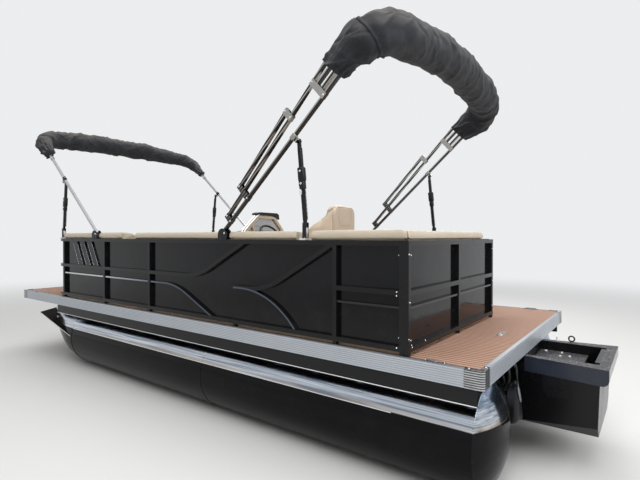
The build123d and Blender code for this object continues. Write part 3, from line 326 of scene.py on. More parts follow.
def trim_finish():
    """Light anodised aluminium with faint drawing lines, painted shade in its grooves and painted light
    warming its stern end.
    """
    f = Finish("anodised_trim")
    base = colours().trim
    groove = rib_groove(f, 0.28)
    draw = f.noise(1.0, 3, 0.6, f.stretched((0.6, 0.6, 160)))
    patch = f.span(f.noise(2.4, 5, 0.65), 0.45, 0.8)
    tone = f.mix(f.span(draw, 0.3, 0.7), shade(base, 0.95), shade(base, 1.04))
    tone = f.mix(f.times(patch, 0.35), tone, shade(base, 0.80))
    # Painted light: the trim aft of the stern face gets a warmer colour than the same trim elsewhere
    tone = f.mix(f.under(f.axis("X"), STERN_FACE), tone, (0.58, 0.565, 0.53))
    # Painted shade: the grooves darkened
    f.feed("Base Color", f.mix(groove, tone, shade(base, 0.55)))
    f.set(Metallic=0.55)
    f.feed("Roughness", f.span(patch, 0, 1, 0.34, 0.48))
    f.bump((draw, 0.00003))
    return f.material


def casting_finish():
    """Bright cast corner: grooves darkened as painted shade, and a tooled, dirt-filled top."""
    f = Finish("corner_casting")
    base = colours().aluminium
    groove = rib_groove(f, 0.42)
    tool = f.voronoi(85, "DISTANCE_TO_EDGE")
    etched = f.times(f.over(f.axis("Z"), CASTING_TOP), f.span(tool, 0.10, 0.05))
    patch = f.span(f.noise(14, 4, 0.65), 0.4, 0.75)
    tone = f.mix(patch, shade(base, 0.62), shade(base, 0.40))
    # Painted shade darkens the grooves; the same dark fills the tooled top
    f.feed("Base Color", f.mix(f.larger(groove, etched), tone, shade(base, 0.07)))
    f.set(Metallic=0.95)
    f.feed("Roughness", f.span(patch, 0, 1, 0.14, 0.32))
    f.bump((tool, 0.0004), (f.noise(260, 2), 0.00005))
    return f.material


def accent_finish():
    """The thin rail: black, with a metal outer face forward of ACCENT_END whose colour, dark blue-grey aft
    and aluminium forward, is painted light.
    """
    f = Finish("accent_rail")
    c = colours()
    side = f.over(f.math("ABSOLUTE", f.axis("Y")), ACCENT_FACE, 0.0003)
    bright = f.times(side, f.over(f.axis("X"), ACCENT_END, 0.010))
    level = f.span(f.noise(90, 3, 0.6, f.stretched((0.05, 1, 1))), 0.3, 0.7)
    # Painted light: the same metal face darker and bluer aft, brighter forward
    forward = f.span(f.axis("X"), 0.2, 1.3)
    metal = f.mix(forward, (0.10, 0.12, 0.15), shade(c.aluminium, 0.75))
    f.feed("Base Color", f.mix(bright, c.black, metal))
    f.feed("Metallic", bright)
    f.feed("Roughness", f.span(level, 0, 1, 0.12, 0.26))
    f.bump((level, 0.00003))
    return f.material


def paint_finish(name, base, low, high, peel, coat=0.0, fade=2.4):
    """Paint or powder coat with orange peel, dust and faint scuffs."""
    f = Finish(name)
    dust = f.span(f.noise(4.0, 6, 0.7), 0.5, 0.85)
    scuff = f.span(f.noise(22.0, 4, 0.7, f.stretched((1, 1, 0.25))), 0.66, 0.8)
    f.feed("Base Color", f.mix(f.larger(f.times(dust, 0.6), f.times(scuff, 0.4)), base, shade(base, fade)))
    f.feed("Roughness", f.span(f.larger(dust, scuff), 0, 1, low, high))
    f.set(Coat_Weight=coat, Coat_Roughness=0.05, Specular_IOR_Level=0.25)
    f.bump((f.noise(420, 2), peel))
    return f.material


def panel_finish():
    """Gloss-black sheet, slightly drawn by its screws, with dust that settles low."""
    f = Finish("fence_panel")
    c = colours()
    low = f.span(f.axis("Z"), PANEL_FOOT, PANEL_FOOT + 0.49, 1.0, 0.15)
    dust = f.times(f.span(f.noise(7, 6, 0.7), 0.45, 0.85), low)
    f.feed("Base Color", f.mix(dust, c.panel, shade(c.panel, 3.4)))
    f.feed("Roughness", f.span(dust, 0, 0.8, 0.06, 0.26))
    f.set(Specular_IOR_Level=0.22)
    f.bump((f.noise(1.0, 2, 0.5, f.stretched((1.6, 1.6, 3.0))), 0.005), (f.noise(300, 2), 0.00003))
    return f.material


def covering_finish():
    """Woven vinyl planking: pinkish tan ribs, a pale and a dark stripe to each."""
    f = Finish("deck_covering")
    c = colours()
    rib = f.math("FRACT", f.math("DIVIDE", f.math("ADD", f.axis("Y"), FIRST_GROOVE), sizes().rib_pitch))
    groove = f.larger(f.span(rib, 0.80, 0.86), f.span(rib, 0.05, 0.0))
    dark = f.times(f.span(rib, 0.44, 0.52), f.span(rib, 0.84, 0.76))
    grain = f.noise(1.0, 6, 0.65, f.stretched((3, 60, 1)))
    strand = f.math("SINE", f.times(f.axis("X"), 900.0))
    tone = f.mix(f.span(grain, 0.3, 0.72), shade(c.planking, 0.86), shade(c.planking, 1.16))
    tone = f.mix(f.times(dark, 0.75), tone, shade(c.planking, 0.52))
    # Painted shade: the grooves between the ribs darkened
    f.feed("Base Color", f.mix(groove, tone, shade(c.planking, 0.30)))
    f.feed("Roughness", f.span(grain, 0.2, 0.8, 0.62, 0.85))
    f.set(Specular_IOR_Level=0.3)
    f.bump((f.math("SUBTRACT", 1.0, groove), 0.001), (strand, 0.00015))
    return f.material


def vinyl_finish(name="seat_vinyl", base=None, grain=0.00022):
    """Marine vinyl: fine leather grain, soft wear and slight soiling."""
    f = Finish(name)
    base = base or colours().vinyl
    soil = f.span(f.noise(6.0, 6, 0.7), 0.46, 0.82)
    fade = f.span(f.noise(1.4, 3), 0.35, 0.7)
    tone = f.mix(fade, shade(base, 0.95), shade(base, 1.06))
    f.feed("Base Color", f.mix(f.times(soil, 0.4), tone, shade(base, 0.80)))
    pebble = f.voronoi(420, "DISTANCE_TO_EDGE")
    f.feed("Roughness", f.span(soil, 0, 1, 0.42, 0.58))
    f.set(Sheen_Weight=0.08, Sheen_Roughness=0.5, Specular_IOR_Level=0.45)
    f.bump((f.noise(38, 4, 0.6), 0.0009), (f.span(pebble, 0, 0.25), grain))
    return f.material


def moulding_finish():
    """Rotomoulded plastic with a pebbled skin."""
    f = Finish("beige_moulding")
    base = colours().moulding
    cloud = f.span(f.noise(2.5, 5, 0.65), 0.4, 0.75)
    low = f.span(f.axis("Z"), CONSOLE_FOOT, CONSOLE_FOOT + 0.18, 0.7, 0.0)
    f.feed("Base Color", f.mix(f.larger(f.times(cloud, 0.3), f.times(low, cloud)), base, shade(base, 0.66)))
    f.feed("Roughness", f.span(cloud, 0, 1, 0.40, 0.58))
    f.bump((f.noise(16, 3), 0.0012), (f.voronoi(700), 0.00016))
    return f.material


def canvas_finish():
    """Charcoal canvas lighter on its upper side as painted light from above: a plain weave on the piece's own
    UV map.
    """
    f = Finish("boot_canvas")
    base = colours().canvas
    uv = f.add("ShaderNodeUVMap").outputs["UV"]
    warp, weft = (f.math("SINE", f.times(f.axis(letter, uv), 2600.0)) for letter in "XY")
    weave = f.times(warp, weft)
    fade = f.span(f.noise(4.5, 6, 0.7), 0.35, 0.75)
    lint = f.span(f.noise(160, 2), 0.6, 0.8)
    tone = f.mix(fade, shade(base, 0.75), shade(base, 1.9))
    tone = f.mix(f.times(lint, 0.35), tone, shade(base, 3.4))
    # Painted light: faces turned up are lighter, as if lit from above
    painted_top_light = f.span(f.axis("Z", f.place.node.outputs["Normal"]), 0.05, 0.75, 0, 0.7)
    tone = f.mix(painted_top_light, tone, (0.120, 0.110, 0.104))
    f.feed("Base Color", f.mix(f.span(weave, 0, 1, 0, 0.4), tone, shade(base, 0.4)))
    f.feed("Roughness", f.span(fade, 0, 1, 0.74, 0.92))
    f.set(Sheen_Weight=0.12, Sheen_Roughness=0.4, Specular_IOR_Level=0.25)
    f.bump((f.noise(11, 4, 0.6), 0.007), (f.noise(34, 5, 0.62), 0.003), (weave, 0.0003))
    return f.material


def nonskid_finish():
    """Gloss paint on the rim's sides, gritty non-skid on its top and on the step."""
    f = Finish("pod_rim_paint")
    level = f.axis("Z")
    step = f.times(f.under(level, POD_STEP), f.under(f.math("ABSOLUTE", f.axis("Y")), POD_STEP_SIDE))
    step = f.times(step, f.over(f.axis("X"), POD_STEP_END))
    tread = f.larger(f.over(level, POD_RIM_TOP, 0.00015), step)
    speck = f.span(f.noise(75, 5, 0.85), 0.50, 0.60)
    worn = f.span(f.noise(9, 5, 0.7), 0.35, 0.65)
    gritty = f.mix(speck, (0.006, 0.006, 0.008), f.mix(worn, (0.16, 0.16, 0.17), (0.42, 0.42, 0.44)))
    fleck = f.span(f.noise(260, 2), 0.60, 0.70, 0, 0.6)
    plain = f.mix(fleck, (0.022, 0.026, 0.040), (0.075, 0.085, 0.115))
    f.feed("Base Color", f.mix(tread, plain, gritty))
    f.feed("Roughness", f.span(tread, 0, 1, 0.16, 0.5))
    f.set(Specular_IOR_Level=0.35)
    f.bump((f.times(tread, speck), 0.0015), (f.noise(420, 2), 0.00008))
    return f.material


def rear_arm_finish():
    """Bronze-black arms with bright lines of painted highlight, stronger higher up, and pale plates high on
    them.
    """
    f = Finish("rear_arm")
    out = f.math("ABSOLUTE", f.math("SUBTRACT", f.math("ABSOLUTE", f.axis("Y")), ARM_Y))
    high = f.span(f.axis("Z"), 1.80, 2.30)
    plate = f.times(f.over(out, ARM_PLATE_FACE, 0.0002), f.over(f.axis("Z"), ARM_PLATE_FOOT, 0.010))
    height = f.add("ShaderNodeVectorMath", operation="DOT_PRODUCT")
    f.link(f.place, height.inputs[0])
    lean = math.radians(REAR_LEAN)
    height.inputs[1].default_value = (math.sin(lean), 0, math.cos(lean))
    # Painted highlight: bright parallel lines along the arms, stronger higher up
    painted_light_streaks = f.math("SINE", f.times(height.outputs["Value"], 2 * math.pi / 0.025))
    light = f.times(f.span(painted_light_streaks, 0.1, 0.6), f.span(high, 0, 1, 0.30, 1.0))
    tube = f.mix(light, (0.030, 0.030, 0.030), (0.40, 0.39, 0.37))
    f.feed("Base Color", f.mix(plate, tube, (0.36, 0.345, 0.325)))
    f.set(Metallic=0.9)
    f.feed("Roughness", f.span(f.noise(40), 0.3, 0.7, 0.18, 0.32))
    f.bump((f.noise(220, 2), 0.00004))
    return f.material


def plywood_finish():
    """Marine plywood under clear sealer."""
    f = Finish("motor_board_ply")
    grain = f.noise(1.0, 6, 0.65, f.stretched((50, 6, 90)), 0.6)
    ring = f.noise(7.0, 4, 0.5, f.stretched((1, 1, 9)))
    tone = f.mix(f.span(grain, 0.3, 0.7), (0.30, 0.17, 0.075), (0.50, 0.32, 0.16))
    f.feed("Base Color", f.mix(f.span(ring, 0.45, 0.7, 0, 0.6), tone, (0.22, 0.115, 0.05)))
    f.feed("Roughness", f.span(grain, 0.2, 0.8, 0.4, 0.6))
    f.bump((grain, 0.0005))
    return f.material


def screen_finish():
    """Smoked acrylic."""
    f = Finish("smoked_screen")
    haze = f.span(f.noise(8, 4), 0.4, 0.8)
    f.feed("Base Color", f.mix(haze, (0.42, 0.41, 0.41), (0.50, 0.49, 0.48)))
    f.feed("Roughness", f.span(haze, 0, 1, 0.04, 0.12))
    f.set(Transmission_Weight=0.72, IOR=1.49)
    return f.material


FINISHES = {}


def finish(name):
    """A material by its name, made once."""
    if name not in FINISHES:
        c = colours()
        makers = {
            "tube": tube_finish,
            "mill": lambda: metal_finish("mill_aluminium", c.dull, 0.38, 0.6, CROSS_DRAWN, 0.00012, 0.7),
            "trim": trim_finish,
            "casting": casting_finish,
            "accent": accent_finish,
            "bright": lambda: metal_finish("bright_edge", c.aluminium, 0.10, 0.24, FORE_DRAWN, 0.00004, 0.2),
            "chrome": lambda: metal_finish("polished_casting", c.aluminium, 0.05, 0.16, EVEN, 0.00008, 0.25),
            "stainless": lambda: metal_finish("stainless_bolt", c.aluminium, 0.12, 0.3, EVEN, 0.00003, 0.3),
            "frame": lambda: paint_finish("black_frame", c.black, 0.20, 0.42, 0.00005),
            "skirt": lambda: paint_finish("black_skirt", c.black, 0.30, 0.50, 0.00008),
            "pod": lambda: paint_finish("pod_paint", shade(c.black, 0.7), 0.25, 0.5, 0.0001, 0.0, 3.0),
            "arm": lambda: paint_finish("arm_paint", c.black, 0.22, 0.40, 0.00004),
            "rear_arm": rear_arm_finish,
            "bracket": lambda: metal_finish("bracket", (0.36, 0.345, 0.325), 0.24, 0.4, EVEN, 0.00005, 0.4),
            "pewter": lambda: metal_finish("cleat_metal", (0.27, 0.27, 0.28), 0.10, 0.26, EVEN, 0.00004, 0.5),
            "light_vinyl": lambda: vinyl_finish("light_vinyl", (0.63, 0.515, 0.39)),
            "plastic": lambda: paint_finish("black_plastic", shade(c.black, 1.5), 0.34, 0.55, 0.00012),
            "panel": panel_finish,
            "covering": covering_finish,
            "vinyl": vinyl_finish,
            "piping": lambda: vinyl_finish("piping_vinyl", shade(c.vinyl, 0.9), 0.0001),
            "moulding": moulding_finish,
            "canvas": canvas_finish,
            "nonskid": nonskid_finish,
            "plywood": plywood_finish,
            "screen": screen_finish,
            "webbing": lambda: paint_finish("strap_webbing", shade(c.canvas, 0.8), 0.55, 0.75, 0.0004),
            "edge": lambda: metal_finish("light_edge", (0.30, 0.32, 0.35), 0.2, 0.4, EVEN, 0.00003, 0.2),
            "socket": socket_finish,
            "front_arm": lambda: metal_finish(
                "front_arm", shade(c.aluminium, 0.62), 0.24, 0.42, EVEN, 0.00004, 0.4),
            "enamel": lambda: paint_finish("white_enamel", (0.72, 0.72, 0.70), 0.25, 0.45, 0.00004, 0.3, 0.8),
        }
        FINISHES[name] = makers[name]()
    return FINISHES[name]


def dress(node, name):
    """Gives a CAD node its finish."""
    mesh = NODES[node].data
    mesh.materials.clear()
    mesh.materials.append(finish(name))


# Stage

CAMERA_PLACE = (-3.529, 3.632, 1.560)
CAMERA_AIM = (0.6017, -0.7987, -0.0084)
CAMERA_LENS = 25.18
FLOOR_HALF = 60
FLOOR_BLEND = (5.0, 15.0)
WORLD_STRENGTH = 0.44
LAMPS = (
    # name, place, aim, size, watts
    ("sky", (-0.5, 0.5, 10.0), (0, 0, 0), (9.0, 7.0), 480),
    ("key", (-4.5, 5.5, 7.0), (0, 0, 0.9), (4.5, 4.5), 330),
    ("fill", (-7.5, 0.5, 4.5), (-0.5, 0, 1.0), (4.0, 3.0), 170),
    ("back", (1.0, -7.0, 5.5), (0, 0, 1.0), (5.0, 3.0), 200),
)


def seen_rays(tree):
    """1 for the rays that show the studio: from the camera, mirrored or let through."""
    path = tree.nodes.new("ShaderNodeLightPath")
    seen = path.outputs["Is Camera Ray"]
    for key in ("Is Glossy Ray", "Is Transmission Ray"):
        node = tree.nodes.new("ShaderNodeMath")
        node.operation = "MAXIMUM"
        tree.links.new(seen, node.inputs[0])
        tree.links.new(path.outputs[key], node.inputs[1])
        seen = node.outputs[0]
    return seen


def floor_paint(base, backdrop):
    """Pale floor that runs into the backdrop's colour far away."""
    f = Finish("floor_paint")
    f.set(Base_Color=base, Roughness=0.9, Specular_IOR_Level=0.1)
    away = f.add("ShaderNodeVectorMath", operation="LENGTH")
    f.link(f.place, away.inputs[0])
    far = f.span(away.outputs["Value"], *FLOOR_BLEND, smooth=True)
    glow = f.add("ShaderNodeEmission")
    glow.inputs["Color"].default_value = (*backdrop, 1)
    mix = f.add("ShaderNodeMixShader")
    f.link(f.times(far, seen_rays(f.tree)), mix.inputs["Fac"])
    f.link(f.shader.outputs["BSDF"], mix.inputs[1])
    f.link(glow.outputs["Emission"], mix.inputs[2])
    f.link(mix.outputs["Shader"], f.tree.nodes["Material Output"].inputs["Surface"])
    return f.material


def world_light(backdrop, strength):
    """A plain world that lights softly and shows the backdrop's colour."""
    world = bpy.data.worlds.new("studio")
    bpy.context.scene.world = world
    world.use_nodes = True
    tree = world.node_tree
    out = tree.nodes["World Output"]
    light = tree.nodes["Background"]
    light.inputs["Color"].default_value = (1, 1, 1, 1)
    light.inputs["Strength"].default_value = strength
    shown = tree.nodes.new("ShaderNodeBackground")
    shown.inputs["Color"].default_value = (*backdrop, 1)
    shown.inputs["Strength"].default_value = 1.0
    mix = tree.nodes.new("ShaderNodeMixShader")
    tree.links.new(seen_rays(tree), mix.inputs["Fac"])
    tree.links.new(light.outputs[0], mix.inputs[1])
    tree.links.new(shown.outputs[0], mix.inputs[2])
    tree.links.new(mix.outputs[0], out.inputs["Surface"])


def soft_lamp(name, place, aim, size, watts):
    """An area lamp that faces a point."""
    lamp = bpy.data.lights.new(name, "AREA")
    lamp.shape = "RECTANGLE"
    lamp.size, lamp.size_y = size
    lamp.energy = watts
    thing = bpy.data.objects.new(name, lamp)
    thing.location = place
    thing.rotation_euler = (Vector(aim) - Vector(place)).to_track_quat("-Z", "Y").to_euler()
    bpy.context.scene.collection.objects.link(thing)


class BOAT_OT_stage(bpy.types.Operator):
    """Set the floor, the lights and the camera"""
    bl_idname = "boat.stage"
    bl_label = "Stage"

    def execute(self, context):
        c = colours()
        bm = bmesh.new()
        bmesh.ops.create_grid(bm, x_segments=1, y_segments=1, size=FLOOR_HALF)
        mesh = bpy.data.meshes.new("floor")
        bm.to_mesh(mesh)
        bm.free()
        floor = bpy.data.objects.new("floor", mesh)
        mesh.materials.append(floor_paint(tuple(c.floor), tuple(c.backdrop)))
        context.scene.collection.objects.link(floor)
        world_light(tuple(c.backdrop), WORLD_STRENGTH)
        for row in LAMPS:
            soft_lamp(*row)
        camera = bpy.data.cameras.new("camera")
        camera.sensor_width = 36
        camera.lens = CAMERA_LENS
        camera.clip_end = 200
        thing = bpy.data.objects.new("camera", camera)
        thing.location = CAMERA_PLACE
        thing.rotation_euler = Vector(CAMERA_AIM).to_track_quat("-Z", "Y").to_euler()
        context.scene.collection.objects.link(thing)
        context.scene.camera = thing
        context.scene.view_settings.view_transform = "Standard"
        return {"FINISHED"}


# Finishes of the solids

DRESSING = {
    "port_tube": "tube",
    "starboard_tube": "tube",
    "tube_risers": "mill",
    "tube_strakes": "bright",
    "spray_guards": "skirt",
    "cross_members": "mill",
    "deck_board": "plywood",
    "deck_covering": "covering",
    "trim_sides": "trim",
    "trim_ends": "trim",
    "trim_corners": "casting",
    "skirts": "skirt",
    "skirt_ledges": "bright",
    "motor_pod": "pod",
    "pod_rim": "nonskid",
    "motor_board": "plastic",
    "fence_port_frame": "frame",
    "fence_starboard_frame": "frame",
    "fence_bow_frames": "frame",
    "fence_stern_frame": "frame",
    "bow_gate_frame": "frame",
    "fence_port_panels": "panel",
    "fence_starboard_panels": "panel",
    "fence_bow_panels": "panel",
    "fence_stern_panels": "panel",
    "bow_gate_panels": "panel",
    "fence_slats": "panel",
    "fence_accents": "accent",
    "fence_feet": "frame",
    "bow_gate_hinges": "stainless",
    "lounge_bases": "moulding",
    "helm_console": "moulding",
    "helm_windscreen": "screen",
    "steering_shaft": "plastic",
    "steering_wheel": "plastic",
    "chair_pedestal": "bright",
    "chair_shell": "light_vinyl",
    "bimini_forks": "plastic",
    "brace_sockets": "socket",
    "socket_cheeks": "plastic",
    "rear_bimini_arms_port": "rear_arm",
    "rear_bimini_arms_starboard": "rear_arm",
    "front_bimini_arms_port": "front_arm",
    "front_bimini_arms_starboard": "front_arm",
    "rear_brace_port": "arm",
    "rear_brace_starboard": "arm",
    "front_brace_port": "arm",
    "front_brace_starboard": "arm",
}


class BOAT_OT_finishes(bpy.types.Operator):
    """Give every solid its finish"""
    bl_idname = "boat.finishes"
    bl_label = "Finishes"

    def execute(self, context):
        for node, name in DRESSING.items():
            dress(node, name)
        return {"FINISHED"}


# Meshes and pieces

def place(name, mesh, body, look=None):
    """A new piece on a body. Without a look, the mesh keeps its own finish."""
    piece = bpy.data.objects.new(name, mesh)
    bpy.context.scene.collection.objects.link(piece)
    if look:
        mesh.materials.clear()
        mesh.materials.append(finish(look))
    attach(piece, body)
    return piece


def working(mesh):
    """An object that only lives while its modifiers are worked out."""
    thing = bpy.data.objects.new("working", mesh)
    bpy.context.scene.collection.objects.link(thing)
    return thing


def baked(thing, name):
    """The mesh of a working object with its modifiers applied."""
    graph = bpy.context.evaluated_depsgraph_get()
    mesh = bpy.data.meshes.new_from_object(thing.evaluated_get(graph))
    mesh.name = name
    bpy.data.objects.remove(thing)
    return mesh


def wearing(mesh, look):
    """The mesh with a finish of its own, for a piece that has several."""
    mesh.materials.append(finish(look))
    return mesh


def mesh_of(name, points, edges=(), faces=(), smooth=True):
    """A mesh from plain lists."""
    mesh = bpy.data.meshes.new(name)
    mesh.from_pydata([tuple(point) for point in points], edges, faces)
    mesh.polygons.foreach_set("use_smooth", [smooth] * len(mesh.polygons))
    mesh.update()
    return mesh


def joined(name, meshes):
    """Several meshes as one; their finishes are kept in order."""
    whole = bmesh.new()
    looks = []
    for mesh in meshes:
        start = len(whole.faces)
        whole.from_mesh(mesh)
        whole.faces.ensure_lookup_table()
        own = list(mesh.materials) or [None]
        for face in whole.faces[start:]:
            look = own[min(face.material_index, len(own) - 1)]
            if look not in looks:
                looks.append(look)
            face.material_index = looks.index(look)
    result = bpy.data.meshes.new(name)
    whole.to_mesh(result)
    whole.free()
    for look in looks:
        if look:
            result.materials.append(look)
    return result


def coordinates(mesh):
    """The mesh's points as an array."""
    flat = np.empty(len(mesh.vertices) * 3)
    mesh.vertices.foreach_get("co", flat)
    return flat.reshape(-1, 3)


def set_coordinates(mesh, points):
    mesh.vertices.foreach_set("co", np.asarray(points).ravel())
    mesh.update()


def normals(mesh):
    flat = np.empty(len(mesh.vertices) * 3)
    mesh.vertices.foreach_get("normal", flat)
    return flat.reshape(-1, 3)


def outward(mesh, merge=0.0):
    """The mesh with its faces pointing out, after its doubles are merged where that is asked."""
    bm = bmesh.new()
    bm.from_mesh(mesh)
    if merge:
        bmesh.ops.remove_doubles(bm, verts=bm.verts, dist=merge)
    bmesh.ops.recalc_face_normals(bm, faces=bm.faces)
    bm.to_mesh(mesh)
    bm.free()
    return mesh


def band(first, second, sides):
    """Faces between two rings of points, given by their numbers."""
    turns = [(i, (i + 1) % sides) for i in range(sides)]
    return [(first * sides + i, first * sides + k, second * sides + k, second * sides + i) for i, k in turns]


def solid_boxes(node):
    """The boxes of a node's separate solids, in order from the stern."""
    bm = bmesh.new()
    bm.from_mesh(NODES[node].data)
    bmesh.ops.remove_doubles(bm, verts=bm.verts, dist=1e-5)
    bm.verts.ensure_lookup_table()
    seen = set()
    boxes = []
    for first in bm.verts:
        if first in seen:
            continue
        stack = [first]
        seen.add(first)
        found = []
        while stack:
            vert = stack.pop()
            found.append(vert.co[:])
            for edge in vert.link_edges:
                other = edge.other_vert(vert)
                if other not in seen:
                    seen.add(other)
                    stack.append(other)
        found = np.array(found)
        boxes.append((found.min(axis=0), found.max(axis=0)))
    bm.free()
    return sorted(boxes, key=lambda box: box[0][0])


def lathe(name, profile, segments=24, turn=None):
    """A turned form from (radius, height) pairs, about Z or a turned axis."""
    points = []
    faces = []
    count = len(profile)
    for step in range(segments):
        angle = 2 * math.pi * step / segments
        points += [(r * math.cos(angle), r * math.sin(angle), h) for r, h in profile]
        here, after = step * count, (step + 1) % segments * count
        faces += [(here + i, after + i, after + i + 1, here + i + 1) for i in range(count - 1)]
    mesh = outward(mesh_of(name, points, (), faces), 1e-6)
    if turn is not None:
        mesh.transform(turn)
    return mesh


def rounded_box(name, low, high, radius, segments=2):
    """A block with rounded edges."""
    bm = bmesh.new()
    bmesh.ops.create_cube(bm, size=1)
    low, high = Vector(low), Vector(high)
    for vert in bm.verts:
        vert.co = Vector(low[i] + (vert.co[i] + 0.5) * (high[i] - low[i]) for i in range(3))
    bmesh.ops.bevel(bm, geom=bm.edges[:], offset=radius, segments=segments, profile=0.5, affect="EDGES")
    mesh = bpy.data.meshes.new(name)
    bm.to_mesh(mesh)
    bm.free()
    mesh.polygons.foreach_set("use_smooth", [True] * len(mesh.polygons))
    return mesh


def prism(name, outline, axis, start, end, bevel=0.002):
    """An outline in the two other axes, drawn out along one, its edges eased."""
    others = [i for i in range(3) if i != axis]
    points = []
    for depth in (start, end):
        for a, b in outline:
            point = [0, 0, 0]
            point[axis] = depth
            point[others[0]] = a
            point[others[1]] = b
            points.append(point)
    count = len(outline)
    faces = [tuple(range(count)), tuple(range(2 * count - 1, count - 1, -1))]
    faces += [(i, (i + 1) % count, (i + 1) % count + count, i + count) for i in range(count)]
    bm = bmesh.new()
    bm.from_mesh(mesh_of("outline", points, (), faces, False))
    bmesh.ops.recalc_face_normals(bm, faces=bm.faces)
    bmesh.ops.bevel(bm, geom=bm.edges[:], offset=bevel, segments=2, profile=0.5, affect="EDGES")
    mesh = bpy.data.meshes.new(name)
    bm.to_mesh(mesh)
    bm.free()
    return mesh


def slice_path(mesh, point, normal):
    """The line in which a plane cuts a mesh, as a mesh of edges."""
    bm = bmesh.new()
    bm.from_mesh(mesh)
    geometry = bm.verts[:] + bm.edges[:] + bm.faces[:]
    cut = bmesh.ops.bisect_plane(bm, geom=geometry, plane_co=point, plane_no=normal)["geom_cut"]
    edges = [item for item in cut if isinstance(item, bmesh.types.BMEdge)]
    verts = {vert: None for edge in edges for vert in edge.verts}
    order = {vert: index for index, vert in enumerate(verts)}
    points = [vert.co[:] for vert in verts]
    pairs = [tuple(order[vert] for vert in edge.verts) for edge in edges]
    bm.free()
    return mesh_of("slice", points, pairs)


# Geometry node groups

class Group:
    """A Geometry Nodes group being put together."""

    def __init__(self, name, inputs):
        self.tree = bpy.data.node_groups.new(name, "GeometryNodeTree")
        face = self.tree.interface
        face.new_socket("Geometry", in_out="INPUT", socket_type="NodeSocketGeometry")
        self.keys = {}
        for label, kind in inputs:
            self.keys[label] = face.new_socket(label, in_out="INPUT", socket_type=kind).identifier
        face.new_socket("Geometry", in_out="OUTPUT", socket_type="NodeSocketGeometry")
        self.given = self.tree.nodes.new("NodeGroupInput").outputs

    def add(self, kind, settings=None, **inputs):
        """A node with its settings, its inputs given by name as values or sockets."""
        node = self.tree.nodes.new(kind)
        for key, value in (settings or {}).items():
            setattr(node, key, value)
        for key, value in inputs.items():
            socket = node.inputs[key.replace("_", " ")]
            if isinstance(value, bpy.types.NodeSocket):
                self.tree.links.new(value, socket)
            else:
                socket.default_value = value
        return node

    def maths(self, operation, a, b=0.0):
        node = self.add("ShaderNodeMath", {"operation": operation})
        for socket, value in zip(node.inputs, (a, b)):
            if isinstance(value, bpy.types.NodeSocket):
                self.tree.links.new(value, socket)
            else:
                socket.default_value = value
        return node.outputs[0]

    def end(self, geometry):
        """Set the finish and hand the geometry out."""
        smooth = self.add("GeometryNodeSetShadeSmooth", Geometry=geometry)
        dressed = self.add("GeometryNodeSetMaterial", Geometry=smooth.outputs[0],
                           Material=self.given["Finish"])
        out = self.tree.nodes.new("NodeGroupOutput")
        self.tree.links.new(dressed.outputs[0], out.inputs["Geometry"])
        return self

    def run(self, name, mesh, **values):
        """The group's result on a mesh, as a plain mesh."""
        thing = working(mesh)
        modifier = thing.modifiers.new("group", "NODES")
        modifier.node_group = self.tree
        for key, value in values.items():
            modifier[self.keys[key]] = value
        return baked(thing, name)


def bead_group():
    """A round bead along edges, rippled like a weld where that is asked."""
    g = Group("bead_along_edges", (("Radius", "NodeSocketFloat"), ("Pitch", "NodeSocketFloat"),
                                   ("Ripple", "NodeSocketFloat"), ("Finish", "NodeSocketMaterial")))
    curve = g.add("GeometryNodeMeshToCurve", Mesh=g.given["Geometry"])
    even = g.add("GeometryNodeResampleCurve", {"mode": "LENGTH"}, Curve=curve.outputs[0],
                 Length=g.given["Pitch"])
    index = g.add("GeometryNodeInputIndex")
    wave = g.maths("SINE", g.maths("MULTIPLY", index.outputs[0], math.pi / 2))
    swell = g.maths("ADD", g.maths("MULTIPLY", wave, g.given["Ripple"]), 1.0)
    sized = g.add("GeometryNodeSetCurveRadius", Curve=even.outputs[0], Radius=swell)
    ring = g.add("GeometryNodeCurvePrimitiveCircle", Resolution=8, Radius=g.given["Radius"])
    tube = g.add("GeometryNodeCurveToMesh", Curve=sized.outputs[0], Profile_Curve=ring.outputs[0],
                 Fill_Caps=True)
    return g.end(tube.outputs[0])


def scatter_group():
    """A head on every point, turned to the point's own direction."""
    g = Group("heads_on_points", (("Head", "NodeSocketObject"), ("Size", "NodeSocketFloat"),
                                  ("Finish", "NodeSocketMaterial")))
    head = g.add("GeometryNodeObjectInfo", Object=g.given["Head"])
    aim = g.add("GeometryNodeInputNamedAttribute", {"data_type": "FLOAT_VECTOR"}, Name="aim")
    turn = g.add("FunctionNodeAlignRotationToVector", {"axis": "Z"}, Vector=aim.outputs[0])
    copies = g.add("GeometryNodeInstanceOnPoints", Points=g.given["Geometry"],
                   Instance=head.outputs["Geometry"], Rotation=turn.outputs[0], Scale=g.given["Size"])
    real = g.add("GeometryNodeRealizeInstances", Geometry=copies.outputs[0])
    return g.end(real.outputs[0])


GROUPS = {}


def group(maker):
    """A node group, made once."""
    if maker not in GROUPS:
        GROUPS[maker] = maker()
    return GROUPS[maker]


def bead(name, path, radius, look, pitch=0.006, ripple=0.0):
    """A tube along a mesh of edges."""
    return group(bead_group).run(name, path, Radius=radius, Pitch=pitch, Ripple=ripple, Finish=finish(look))


def heads(name, head, spots, size, look):
    """Heads at (place, direction) pairs."""
    mesh = mesh_of(name, [spot for spot, _ in spots])
    aim = mesh.attributes.new("aim", "FLOAT_VECTOR", "POINT")
    aim.data.foreach_set("vector", [c for _, way in spots for c in way])
    thing = working(head)
    result = group(scatter_group).run(name, mesh, Head=thing, Size=size, Finish=finish(look))
    bpy.data.objects.remove(thing)
    return result


def path_mesh(points, closed=False):
    """A line of points as a mesh of edges."""
    edges = [(i, i + 1) for i in range(len(points) - 1)]
    if closed:
        edges.append((len(points) - 1, 0))
    return mesh_of("path", points, edges)


